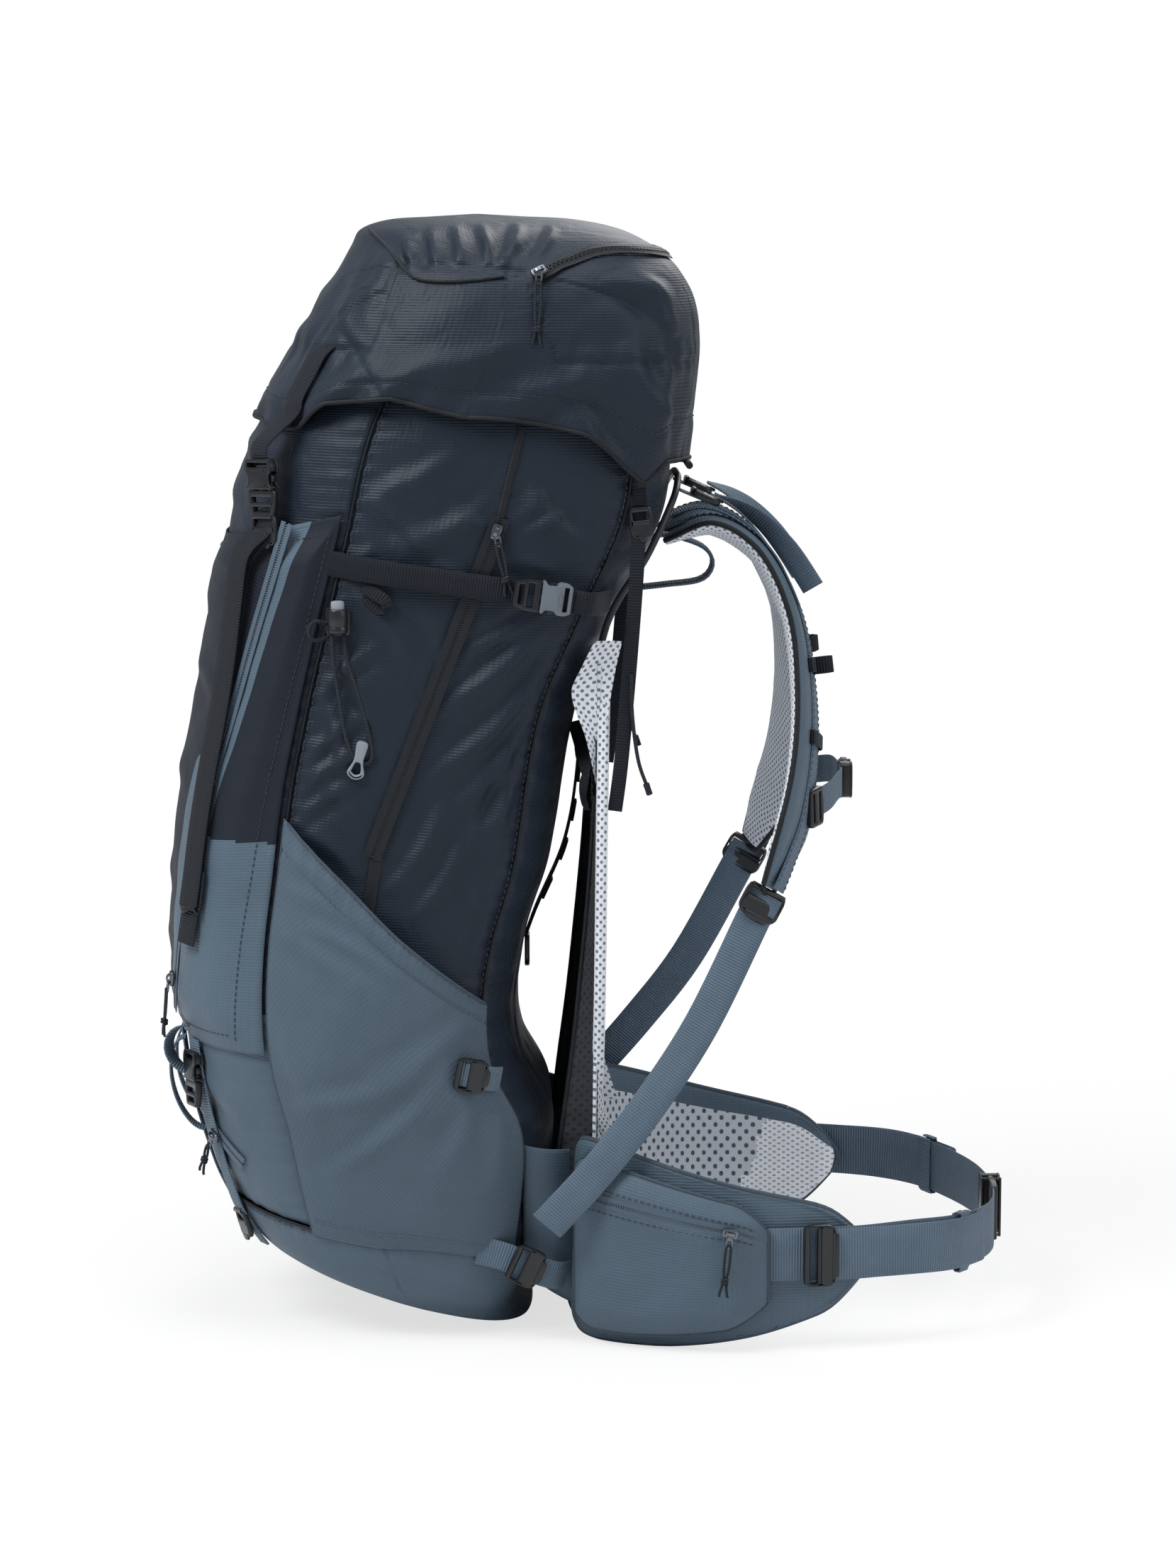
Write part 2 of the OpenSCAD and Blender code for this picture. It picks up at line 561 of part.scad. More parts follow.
module lid_strap_tails() {
    x = (lid_strap_x + 4) * bag_w / standard_w;
    base = lid_buckle_base();
    start = base - hinge_tangent(base) * (plug_l + seam_gap);
    across = on_front(x + 2, up(450), 0) - on_front(x - 2, up(450), 0);
    hang = [for (z = [540, 500, 450, 400, 350, 305]) on_front(x, up(z), front_pocket_d + pocket_t + 3 + web_t / 2)];
    color(black) both() strap(concat([start, start - hinge_tangent(base) * 8], hang), across, strap_w);
}

// Side compression strap, held off the panel so that the side zipper's slider passes under it
side_lift = 8.4;
side_front = [-37, 545];
side_back = [93, 526];
function side_strap_pt(t, off) = on_side(mix(side_front[0], side_back[0], t) * rear_d / standard_rear,
    up(mix(side_front[1], side_back[1], t)), off);
function side_strap_way() = unit(side_strap_pt(1, side_lift) - side_strap_pt(0.7, side_lift));
function side_buckle_base() = side_strap_pt(1, side_lift + web_t / 2 + run_gap + 2.5 + 1.4);
module side_straps() {
    over = [for (i = [0:7]) side_strap_pt(mix(0.1, 0.96, i / 7), side_lift)];
    stub = side_buckle_base() + side_strap_way() * (socket_l() + seam_gap);
    end = stub + side_strap_way() * 18;
    color(slate) both() {
        strap(concat([side_strap_pt(-0.02, web_t / 2 + seam_gap + 0.4)], over), [0, 0.14, 1], strap_w - 4);
        strap([stub, end, on_side(end[1] + 9, end[2] - 1, web_t / 2 + seam_gap + 1.5)], [0, 0.14, 1], strap_w - 4);
    }
}
module side_buckle() {
    placed(side_buckle_base(), -side_strap_way(), [1, 0, 0]) children();
}
module side_buckle_sockets() {
    color("#6b7075") both() side_buckle() socket(strap_w - 4, buckle_h);
}
module side_buckle_plug_right() {
    color(black) side_buckle() plug(strap_w - 4, prong_h());
}
module side_buckle_plug_left() {
    color(black) mirror([1, 0, 0]) side_buckle() plug(strap_w - 4, prong_h());
}

// ---- Pole holder on the right ----

pole_y = -46;
pole_z = 500;
function pole_base() = on_side(pole_y * front_d / 166, up(pole_z), seam_gap + barrel_r);
module pole_place() {
    placed(pole_base(), [0, 0, 1], [1, 0, 0]) rotate([0, 90, 0]) children();
}
// Barrel of the lock, open at the top where its button goes in
barrel_r = 7;
barrel_l = 17;
button_r = 4.6;
button_l = 12;
button_travel = 3;
button_bore = 10;
module pole_cord_lock() {
    color(black) pole_place() difference() {
        cylinder(r = barrel_r, h = barrel_l, $fn = 48);
        translate([0, 0, barrel_l - button_bore])
            cylinder(r = button_r + run_gap, h = button_bore + 1, $fn = 48);
    }
}
module pole_lock_button() {
    color(slate) pole_place() translate([0, 0, barrel_l - button_bore + button_travel + run_gap])
        cylinder(r = button_r, h = button_l, $fn = 48);
}
// The elastic loop under the lock, as points from the lock's foot
pole_loop = [[0, -4, -2.1], [0, -3, -20], [0, 1, -48], [0, 5, -72], [0, 11, -86],
    [0, 19, -90], [0, 23, -84], [0, 20, -66], [0, 13, -40], [0, 6, -18], [0, 4, -2.1]];
pole_cord_d = 3;
module pole_cord() {
    color(charcoal) wire(route([for (p = pole_loop) pole_base() + p], 3), [1, 0, 0], pole_cord_d, 6);
}

// ---- Loops and webbing on the lower front ----

module front_loops() {
    // Webbing down the middle of the lower front, over the curved zipper
    down = [for (z = [196, 170, 140, 112, 90, 70, 52]) on_front(0, up(z), web_t / 2 + zip_lift + zip_t / 2 + 1.2)];
    // Tool loop standing off the front below the pocket
    loop = [for (a = [-90:20:90]) on_front(26, up(162 + 34 * sin(a)), seam_gap + 0.2 + 15 * cos(a))];
    color(slate) {
        strap(down, [1, 0, 0], strap_w);
        for (s = [-1, 1]) strap([for (p = loop) [s * 26, p[1], p[2]]], [1, 0, 0], strap_w - 6);
    }
}

// ---- Frame and back ----

module steel_frame() {
    side = [pt(86, 119, 125.9), pt(94, 122, 142), pt(110, 130.6, 180), pt(125, 132, 260), pt(125, 133.2, 380)];
    high = [on_back(0.36 * bag_w, up(490), 6), on_back(0.32 * bag_w, up(550), 5), on_back(0.27 * bag_w, up(585), 5),
        on_back(0.15 * bag_w, up(598), 5)];
    half = concat(side, high);
    whole = concat(half, [on_back(0, up(600), 5)], [for (i = [1:len(half)]) let (p = half[len(half) - i]) [-p[0], p[1], p[2]]]);
    color(metal) wire(route(whole, 2), [0, 1, 0.01], rod_d, 8);
}
module back_mesh() {
    function net(u, v, off) =
        let (x = mix(-124, 124, u) * bag_w / standard_w, z = up(mix(128, 476, v)))
        [-x, mix(132.5, 136, v) * rear_d / standard_rear + 1.2 * pow(x / 120, 2) - off, z];
    color(mesh_grey) panel(function(u, v) net(u, v, -mesh_t), function(u, v) net(u, v, 0), 8, 8);
}
module lumbar_pad() {
    function cushion(u, v, off) =
        let (x = mix(-1, 1, u) * (fold_x - fold_r - run_gap), z = up(mix(6, 124, v)),
            f = pow(1 - pow(abs(2 * v - 1), 8), 0.5))
        [-x, 119 * rear_d / standard_rear + (off * (0.3 + 0.7 * f)), z];
    color(black) panel(function(u, v) cushion(u, v, 11), function(u, v) cushion(u, v, -11), 8, 8);
}
module fold_piping() {
    color(slate) both() translate([fold_x, 119 * rear_d / standard_rear, up(8)]) cylinder(r = fold_r, h = up(112), $fn = 32);
}
module back_length_strap() {
    top = 470;
    foot = 264;
    bow = 9;
    hook = [24, 6, 20];
    heights = [for (i = [0:6]) mix(top, foot, i / 6)];
    p = on_back(0, up(foot), 1.2);
    color(black) {
        strap([for (h = heights) on_back(0, up(h), web_t / 2 + 3 * seam_gap + bow * sin(180 * (h - foot) / (top - foot)))],
            [1, 0, 0], strap_w);
        translate([-hook[0] / 2, p[1] + 0.1, p[2] - hook[2] - seam_gap]) cube(hook);
    }
}

// ---- Harness ----

shoulder_line = [[48, 182, 556], [51, 214, 566], [56, 247, 546], [63, 270, 502], [72, 278, 451],
    [84, 278, 407], [95, 272, 368], [104, 262, 340], [109, 252.5, 317]];
function shoulder_route() = route([for (p = shoulder_line) pt(p[0], p[1], p[2])], 2);
// The pad's face turns outwards on its way down
function shoulder_side(n) = [for (i = [0:n - 1]) let (a = mix(6, -24, i / (n - 1))) [cos(a), sin(a), 0.12]];
module shoulder_pads() {
    line = shoulder_route();
    color(slate) both() pad(line, shoulder_side(len(line)), shoulder_w, shoulder_t);
}
lower_line = [[113.4, 241.3, 295.8], [132, 205, 225], [152, 168, 172], [164, 132, 128], [165, 104, 97]];
module shoulder_webbing() {
    color(slate) both() strap(route([for (p = lower_line) pt(p[0], p[1], p[2])], 2), [0, 0.77, -0.64], harness_w);
}
module harness_ladder_locks() {
    at_pad = pt(112.6, 247.2, 306.3);
    color(black) both() placed(at_pad, pt(116.6, 235.2, 284.3) - at_pad, [1, 0.3, 0]) ladder_lock(harness_w, 5);
}
module load_lifters() {
    line = [[60, 191, 592], [60, 232, 573], [61, 256, 549], [62.5, 268, 527.5], [64, 275.2, 510.5]];
    color(slate) both() strap([for (p = line) pt(p[0], p[1], p[2])], [1, 0, 0], strap_w);
}
module haul_loop() {
    y = rear_y(up(548));
    color(black) strap([[0, rear_y(up(552)) + 1.6, up(552)], [0, y + 14, up(556)], [0, y + 40, up(548)], [0, y + 48, up(536)], [0, y + 40, up(524)],
        [0, y + 14, up(520)], [0, rear_y(up(517)) + 1.8, up(517)]], [1, 0, 0], harness_w);
}
chest_line = [[92, 283, 372], [70, 297, 376], [46, 305, 380], [34, 308, 380]];
chest_y = 313;
chest_z = 380;
// The webbing runs just inside the buckle, so that the plug can move along it
module chest_half(end_x) {
    inner_y = pt(0, chest_y, 0)[1] - 2.5 - run_gap - web_t / 2;
    strap(route(concat([for (p = chest_line) pt(p[0], p[1], p[2])], [[end_x, inner_y, up(chest_z)]]), 2),
        [0, 0, 1], strap_w);
}
module chest_strap() {
    color(black) {
        chest_half(socket_l() + seam_gap);
        mirror([1, 0, 0]) chest_half(8);
    }
}
module chest_place() {
    placed(pt(0, chest_y, chest_z), [-1, 0, 0], [0, 1, 0]) children();
}
module chest_buckle_socket() {
    color(black) chest_place() socket(strap_w, buckle_h);
}
module chest_buckle_plug() {
    color(black) chest_place() plug(strap_w, prong_h());
}

// ---- Hip belt ----

// Plan of a fin's middle line, as a cubic curve from its fold to its tip
fin_plan = [[104.4, 119], [140, 112], [178, 190], [150, 322]];
function fin_mid(s) =
    let (p = [for (q = fin_plan) pt(q[0], q[1], 0)], r = 1 - s)
    p[0] * r * r * r + p[1] * 3 * r * r * s + p[2] * 3 * r * s * s + p[3] * s * s * s;
function fin_out(s) = let (d = unit(fin_mid(min(1, s + 0.02)) - fin_mid(max(0, s - 0.02)))) [d[1], -d[0], 0];
function fin_top(s) = up(curve([[0, 120], [0.15, 140], [0.4, 136], [0.75, 112], [0.92, 98], [1, 84]], s));
function fin_low(s) = up(curve([[0, 8], [0.2, 2], [0.5, 0.6], [0.75, 8], [0.92, 26], [1, 44]], s));
module fin() {
    function foam(u, v, side) =
        let (s = 1 - u, f = 0.35 + 0.65 * pow(1 - pow(abs(2 * v - 1), 6), 0.5) * (s > 0.9 ? 1 - 5 * (s - 0.9) : 1))
        fin_mid(s) + fin_out(s) * side * fin_t / 2 * f + [0, 0, mix(fin_low(s), fin_top(s), v)];
    panel(function(u, v) foam(1 - u, v, 1), function(u, v) foam(1 - u, v, -1), 14, 6);
}
module fin_right() {
    color(slate) fin();
}
module fin_left() {
    color(slate) mirror([1, 0, 0]) fin();
}
fin_pocket_ends = [0.21, 0.8];
function fin_pocket_skin(u, v, off) =
    let (s = mix(fin_pocket_ends[0], fin_pocket_ends[1], u), swell = min(1, 6 * u, 6 * (1 - u), 5 * v, 5 * (1 - v)))
    fin_mid(s) + fin_out(s) * (fin_t / 2 + seam_gap + off * (0.35 + 0.65 * swell))
    + [0, 0, mix(fin_low(s) + 9, fin_top(s) - 9, v)];
module fin_pocket() {
    panel(function(u, v) fin_pocket_skin(u, v, fin_pocket_d), function(u, v) fin_pocket_skin(u, v, 0), 12, 6);
}
module fin_pocket_right() {
    color(slate) fin_pocket();
}
module fin_pocket_left() {
    color(slate) mirror([1, 0, 0]) fin_pocket();
}
module fin_slider() {
    p = fin_pocket_skin(0.86, 0.8, fin_pocket_d + 0.6);
    q = fin_pocket_skin(0.6, 0.8, fin_pocket_d + 0.6);
    placed(p + fin_out(0.7) * 1.2, p - q, fin_out(0.68)) slider();
}
module fin_slider_right() {
    fin_slider();
}
module fin_slider_left() {
    mirror([1, 0, 0]) fin_slider();
}
hip_buckle_h = 15;
hip_y = 424;
hip_z = 60;
belt_line = [[144, 352, 68], [124, 382, 66], [92, 404, 63], [56, 418, 61]];
// The webbing starts on the fin's outer face, under its ladder lock
function belt_root(s) = fin_mid(s) + fin_out(s) * (fin_t / 2 + 2 * seam_gap + web_t / 2) + [0, 0, up(68)];
module belt_webbing(end_x) {
    line = concat([for (s = [0.84, 0.91, 0.98]) belt_root(s)], [for (p = belt_line) pt(p[0], p[1], p[2])],
        [pt(0, hip_y, hip_z) + [end_x + 1, 0, 0]]);
    color(slate) strap(route(line, 2), [0, 0, 1], belt_w);
}
module belt_webbing_right() {
    belt_webbing(plug_l + seam_gap);
}
module belt_webbing_left() {
    mirror([1, 0, 0]) belt_webbing(socket_l() + seam_gap);
}
module fin_lock() {
    h = 6;
    placed(belt_root(0.9) + fin_out(0.9) * (web_t / 2 + 2 * run_gap + h / 2), fin_mid(0.95) - fin_mid(0.85),
        fin_out(0.9)) ladder_lock(belt_w, h);
}
module hip_buckle_plug() {
    color(black) {
        placed(pt(0, hip_y, hip_z), [1, 0, 0], [0, 1, 0]) plug(belt_w, 3.5);
        fin_lock();
    }
}
module hip_buckle_socket() {
    color(black) {
        placed(pt(0, hip_y, hip_z), [1, 0, 0], [0, 1, 0]) socket(belt_w, hip_buckle_h);
        mirror([1, 0, 0]) fin_lock();
    }
}

base_patch();
base_panel();
front_panel();
back_panel();
side_panel(true);  // side_panel_right
side_panel(false);  // side_panel_left
compartment_floor();
snow_collar();
collar_drawcord();
collar_cord_lock();
front_pocket();
bag_zippers();
front_slider_right();
front_slider_left();
side_pocket_right();
side_pocket_left();
side_slider_right();
side_slider_left();
bottom_slider();
side_straps();
side_buckle_sockets();
side_buckle_plug_right();
side_buckle_plug_left();
lid_shell();
lid_floor();
lid_zipper();
lid_slider();
lid_straps();
lid_buckle_sockets();
lid_buckle_plugs();
lid_strap_tails();
lid_hinge_piping();
pole_cord();
pole_cord_lock();
pole_lock_button();
front_loops();
steel_frame();
back_mesh();
lumbar_pad();
back_length_strap();
shoulder_pads();
shoulder_webbing();
load_lifters();
haul_loop();
harness_ladder_locks();
chest_strap();
chest_buckle_socket();
chest_buckle_plug();
fin_right();
fin_left();
fin_pocket_right();
fin_pocket_left();
fin_slider_right();
fin_slider_left();
belt_webbing_right();
belt_webbing_left();
hip_buckle_plug();
hip_buckle_socket();
fold_piping();
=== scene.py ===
"""A hiking backpack of about 60 litres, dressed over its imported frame.

+Z is up, -Y is the outer front, +Y is the wearer's side and +X is the wearer's right. Lengths in
this script are millimetres; a mesh is written in metres. The bag's sizes and curves are those of
the frame's own source, so that each cloth lies where its plain solid does.
"""
import math

import bmesh
import bpy
import numpy as np
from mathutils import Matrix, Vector


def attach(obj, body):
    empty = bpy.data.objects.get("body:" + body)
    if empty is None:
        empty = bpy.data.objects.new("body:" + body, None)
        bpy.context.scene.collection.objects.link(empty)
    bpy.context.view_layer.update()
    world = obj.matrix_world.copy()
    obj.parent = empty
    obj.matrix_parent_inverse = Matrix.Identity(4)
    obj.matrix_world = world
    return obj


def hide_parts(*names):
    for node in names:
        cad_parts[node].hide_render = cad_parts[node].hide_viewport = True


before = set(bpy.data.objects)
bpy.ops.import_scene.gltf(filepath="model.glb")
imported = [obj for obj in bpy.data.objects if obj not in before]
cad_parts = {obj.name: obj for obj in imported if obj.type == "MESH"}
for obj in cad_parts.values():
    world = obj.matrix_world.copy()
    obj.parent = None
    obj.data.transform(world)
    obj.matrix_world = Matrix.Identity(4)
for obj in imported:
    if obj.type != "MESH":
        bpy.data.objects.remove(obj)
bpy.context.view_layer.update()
scene = bpy.context.scene
MM = 0.001

# ---- Camera ----

AZIMUTH, ELEVATION, DISTANCE = math.radians(89), math.radians(8), 3.0
back = Vector((math.sin(AZIMUTH) * math.cos(ELEVATION), -math.cos(AZIMUTH) * math.cos(ELEVATION),
               math.sin(ELEVATION)))
camera = bpy.data.objects.new("camera", bpy.data.cameras.new("camera"))
camera.data.lens = 95.2
camera.data.sensor_width = 36
camera.location = Vector((0, 0.1276, 0.375)) + back * DISTANCE
camera.rotation_euler = back.to_track_quat("Z", "Y").to_euler()
scene.collection.objects.link(camera)
scene.camera = camera
scene.view_settings.view_transform = "Standard"

# ---- Shapes: (points, lists of faces, uv) ----


def unit(v):
    """Each vector over its own length."""
    v = np.asarray(v, float)
    return v / np.maximum(np.linalg.norm(v, axis=-1, keepdims=True), 1e-9)


def mix(a, b, t):
    """a + (b - a) t."""
    return a + (b - a) * t


def curve(rows, f):
    """Cubic through the rows (place, value); the slope at a row is that between its neighbours."""
    x, y = np.asarray(rows, float).T
    lo, hi = np.maximum(np.arange(len(x)) - 1, 0), np.minimum(np.arange(len(x)) + 1, len(x) - 1)
    slope = (y[hi] - y[lo]) / (x[hi] - x[lo])
    f = np.clip(f, x[0], x[-1])
    i = np.clip(np.searchsorted(x, f, side="right") - 1, 0, len(x) - 2)
    w = x[i + 1] - x[i]
    t = (f - x[i]) / w
    return (y[i] * (2 * t**3 - 3 * t**2 + 1) + slope[i] * w * (t**3 - 2 * t**2 + t)
            + y[i + 1] * (3 * t**2 - 2 * t**3) + slope[i + 1] * w * (t**3 - t**2))


def route(points, steps=6):
    """Smooth line through the points: a cubic in each gap, with half the way between its
    neighbours as the slope at each point."""
    p = np.asarray(points, float)
    a, b = p[:-1], p[1:]
    da = (b - np.vstack([p[:1], p[:-2]])) / 2
    db = (np.vstack([p[2:], p[-1:]]) - a) / 2
    t = (np.arange(steps) / steps)[None, :, None]
    a, b, da, db = (q[:, None] for q in (a, b, da, db))
    line = (a * (2 * t**3 - 3 * t**2 + 1) + da * (t**3 - 2 * t**2 + t)
            + b * (3 * t**2 - 2 * t**3) + db * (t**3 - t**2))
    return np.vstack([line.reshape(-1, 3), p[-1:]])


def lengths(path):
    """Distance along the path to each of its points."""
    return np.concatenate([[0], np.cumsum(np.linalg.norm(np.diff(path, axis=0), axis=1))])


def even(path, step):
    """The path again with points about one step apart, by its own length."""
    s = lengths(path)
    n = max(2, int(round(s[-1] / step)) + 1)
    at = np.linspace(0, s[-1], n)
    return np.stack([np.interp(at, s, path[:, k]) for k in range(3)], -1)


def cells(nu, nv, wrap=False):
    """Corner numbers of the cells of a grid, nu across and nv up; wrap joins its last column to
    its first."""
    cols = nu if wrap else nu + 1
    i, j = np.meshgrid(np.arange(nu), np.arange(nv))
    a, b = j * cols + i, j * cols + (i + 1) % cols
    return np.stack([a, b, b + cols, a + cols], -1).reshape(-1, 4)


def spread(nu, nv, wrap=False):
    """The grid's two parameters, each from 0 to 1, with rows up and columns across."""
    return np.meshgrid(np.arange(nu if wrap else nu + 1) / nu, np.linspace(0, 1, nv + 1))


def sheet_of(points, wrap=False, uv=None, caps=()):
    """Shape of a grid of points [row, column]; its uv is the real distance across and up, in
    metres. A cap closes the first row (0) or the last (-1) with one face."""
    rows, cols = points.shape[:2]
    if uv is None:
        across = np.linalg.norm(np.diff(points, axis=1), axis=2).mean(0)
        rise = np.linalg.norm(np.diff(points, axis=0), axis=2).mean(1)
        uv = np.stack(np.meshgrid(np.concatenate([[0], np.cumsum(across)]),
                                  np.concatenate([[0], np.cumsum(rise)])), -1) * MM
    faces = [cells(cols if wrap else cols - 1, rows - 1, wrap)]
    if 0 in caps:
        faces.append(np.arange(cols)[::-1][None])
    if -1 in caps:
        faces.append((np.arange(cols) + (rows - 1) * cols)[None])
    return points.reshape(-1, 3), faces, uv.reshape(-1, 2)


def swept(path, side, section, caps=True):
    """Shape of a closed section carried along a path. The section's first axis is the side
    direction squared to the path, its second the cross product of the path and the first. A
    section may differ at each point of the path. uv is the section's first value and the length."""
    path = np.asarray(path, float)
    along = unit(np.gradient(path, axis=0))
    side = np.broadcast_to(np.asarray(side, float), path.shape)
    across = unit(side - (side * along).sum(1, keepdims=True) * along)
    rise = np.cross(along, across)
    section = np.broadcast_to(np.asarray(section, float), (len(path),) + np.shape(section)[-2:])
    p = path[:, None] + across[:, None] * section[..., :1] + rise[:, None] * section[..., 1:]
    uv = np.stack([section[..., 0], np.broadcast_to(lengths(path)[:, None], section.shape[:2])], -1) * MM
    return sheet_of(p, True, uv, (0, -1) if caps else ())


def flat_section(w, t):
    """Webbing's section: w wide and t thick with rounded edges."""
    e = t * 0.45
    return np.array([(-w / 2, -t * 0.2), (-w / 2 + e, -t / 2), (-w / 6, -t / 2), (w / 6, -t / 2),
                     (w / 2 - e, -t / 2), (w / 2, -t * 0.2), (w / 2, t * 0.2), (w / 2 - e, t / 2),
                     (w / 6, t / 2), (-w / 6, t / 2), (-w / 2 + e, t / 2), (-w / 2, t * 0.2)])


def round_section(r, n=8):
    """Circle of radius r in n points."""
    a = 2 * np.pi * np.arange(n) / n
    return r * np.stack([np.cos(a), np.sin(a)], -1)


def joined(*shapes):
    """One shape from several: each face's corner numbers move up by the points before it."""
    points, faces, uvs, base = [], [], [], 0
    for p, f, uv in shapes:
        points.append(p)
        uvs.append(uv)
        faces += [g + base for g in f]
        base += len(p)
    return np.vstack(points), faces, np.vstack(uvs)


def mirrored(shape):
    """The shape with x turned round, and each face's order with it."""
    p, f, uv = shape
    return p * (-1, 1, 1), [g[:, ::-1] for g in f], uv


def both(shape):
    """The shape and its mirror image on the other side of the bag."""
    return joined(shape, mirrored(shape))


def placed(shape, origin, along, out):
    """The shape with its own x along the first direction and its z as near as it can be to the
    second."""
    x = unit(along)
    y = unit(np.cross(out, x))
    p, f, uv = shape
    return p @ np.stack([x, y, np.cross(x, y)]) + np.asarray(origin, float), f, uv


def shifted(shape, move):
    """The shape moved."""
    return shape[0] + np.asarray(move, float), shape[1], shape[2]


def rounded(corners, radius):
    """Outline through straight edges with each corner turned by a quadratic curve that starts
    and ends one radius from it."""
    p = np.asarray(corners, float)
    before, after = np.roll(p, 1, 0) - p, np.roll(p, -1, 0) - p
    la, lb = np.linalg.norm(before, axis=1), np.linalg.norm(after, axis=1)
    r = np.minimum(radius, 0.48 * np.minimum(la, lb))[:, None]
    a, b = p + unit(before) * r, p + unit(after) * r
    t = np.linspace(0, 1, 5)[None, :, None]
    return (a[:, None] * (1 - t)**2 + 2 * p[:, None] * t * (1 - t) + b[:, None] * t**2).reshape(-1, 2)


def box_outline(x0, x1, half, radius=1.0):
    """Rounded rectangle from x0 to x1 and half to each side."""
    return rounded([(x0, -half), (x1, -half), (x1, half), (x0, half)], radius)


def plate(outlines, thickness, bevel=0.5, z=0.0):
    """Flat moulded plate: the first outline is its edge and the others are holes. Its rims are
    rounded by the bevel."""
    data = bpy.data.curves.new("outline", "CURVE")
    data.dimensions, data.fill_mode = "2D", "BOTH"
    for line in outlines:
        s = data.splines.new("POLY")
        s.points.add(len(line) - 1)
        s.points.foreach_set("co", np.column_stack([line, np.zeros(len(line)), np.ones(len(line))]).ravel())
        s.use_cyclic_u = True
    data.extrude, data.bevel_depth, data.bevel_resolution, data.offset = thickness / 2 - bevel, bevel, 1, -bevel
    obj = bpy.data.objects.new("outline", data)
    scene.collection.objects.link(obj)
    mesh = bpy.data.meshes.new_from_object(obj.evaluated_get(bpy.context.evaluated_depsgraph_get()))
    bpy.data.objects.remove(obj)
    b = bmesh.new()
    b.from_mesh(mesh)
    bmesh.ops.remove_doubles(b, verts=b.verts, dist=0.01)
    bmesh.ops.recalc_face_normals(b, faces=b.faces)
    b.to_mesh(mesh)
    b.free()
    p = np.array([v.co for v in mesh.vertices]) + (0, 0, z)
    by_size = {}
    for f in mesh.polygons:
        by_size.setdefault(len(f.vertices), []).append(list(f.vertices))
    bpy.data.meshes.remove(mesh)
    return p, [np.array(f) for f in by_size.values()], p[:, :2] * MM


def piece(name, body, shape, material, stands_for=(), wall=0, smooth=45, marks=None):
    """A finished object from a shape: marks number each face's material; wall gives a cloth its
    thickness, inwards; edges sharper than smooth degrees stay sharp."""
    p, faces, uv = shape
    mesh = bpy.data.meshes.new(name)
    mesh.from_pydata((p * MM).tolist(), [], [f for g in faces for f in g.tolist()])
    layer = mesh.uv_layers.new(name="UVMap")
    corner = np.zeros(len(mesh.loops), np.int32)
    mesh.loops.foreach_get("vertex_index", corner)
    layer.uv.foreach_set("vector", uv[corner].ravel())
    for m in material if isinstance(material, (list, tuple)) else [material]:
        mesh.materials.append(m)
    if marks is not None:
        full = np.zeros(len(mesh.polygons), np.int32)
        full[:len(marks)] = marks
        mesh.polygons.foreach_set("material_index", full)
    mesh.polygons.foreach_set("use_smooth", np.ones(len(mesh.polygons), bool))
    mesh.set_sharp_from_angle(angle=math.radians(smooth))
    obj = bpy.data.objects.new(name, mesh)
    scene.collection.objects.link(obj)
    if wall:
        m = obj.modifiers.new("wall", "SOLIDIFY")
        m.thickness, m.offset, m.use_even_offset = wall * MM, -1, False
    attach(obj, body)
    if stands_for:
        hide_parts(*stands_for)
    return obj


SWELL_FRAMES, PRESSURE = 14, 4


def inflate(obj, held, cap):
    """Swells a closed pad as cloth, with pressure inside and no gravity. The held points stay, and
    the others move by cap mm at most."""
    mesh = obj.data
    group = obj.vertex_groups.new(name="held")
    group.add(np.flatnonzero(held).tolist(), 1.0, "REPLACE")
    cloth = obj.modifiers.new("swell", "CLOTH")
    cloth.settings.quality, cloth.settings.mass = 4, 0.15
    cloth.settings.tension_stiffness = cloth.settings.compression_stiffness = 12
    cloth.settings.bending_stiffness = 0.4
    cloth.settings.use_pressure, cloth.settings.uniform_pressure_force = True, PRESSURE
    cloth.settings.vertex_group_mass = "held"
    cloth.settings.effector_weights.gravity = 0
    cloth.point_cache.frame_start, cloth.point_cache.frame_end = 1, SWELL_FRAMES
    for frame_no in range(1, SWELL_FRAMES + 1):
        scene.frame_set(frame_no)
    n = len(mesh.vertices)
    before, after = np.zeros(n * 3), np.zeros(n * 3)
    mesh.vertices.foreach_get("co", before)
    done = obj.evaluated_get(bpy.context.evaluated_depsgraph_get()).to_mesh()
    done.vertices.foreach_get("co", after)
    move = (after - before).reshape(-1, 3)
    size = np.linalg.norm(move, axis=1, keepdims=True)
    move *= np.minimum(1, cap * MM / np.maximum(size, 1e-9))
    obj.modifiers.remove(cloth)
    mesh.vertices.foreach_set("co", before + move.ravel())
    mesh.update()
    scene.frame_set(1)


# ---- Materials ----


def linear(colour, gain=1.0):
    """An sRGB hex colour as linear light, times a gain."""
    c = [int(colour[i:i + 2], 16) / 255 for i in (1, 3, 5)]
    return (*[min(1, gain * (x / 12.92 if x <= 0.04045 else ((x + 0.055) / 1.055)**2.4)) for x in c], 1)


def add(tree, kind, inputs=None, **settings):
    """Add one shader node. inputs maps a socket to a value, or to another node's socket to link."""
    n = tree.nodes.new("ShaderNode" + kind)
    for key, value in settings.items():
        setattr(n, key, value)
    for key, value in (inputs or {}).items():
        if isinstance(value, bpy.types.NodeSocket):
            tree.links.new(value, n.inputs[key])
        else:
            n.inputs[key].default_value = value
    return n


def begin(name):
    """A new material with its Principled shader: (material, tree, shader)."""
    m = bpy.data.materials.new(name)
    m.use_nodes = True
    return m, m.node_tree, m.node_tree.nodes["Principled BSDF"]


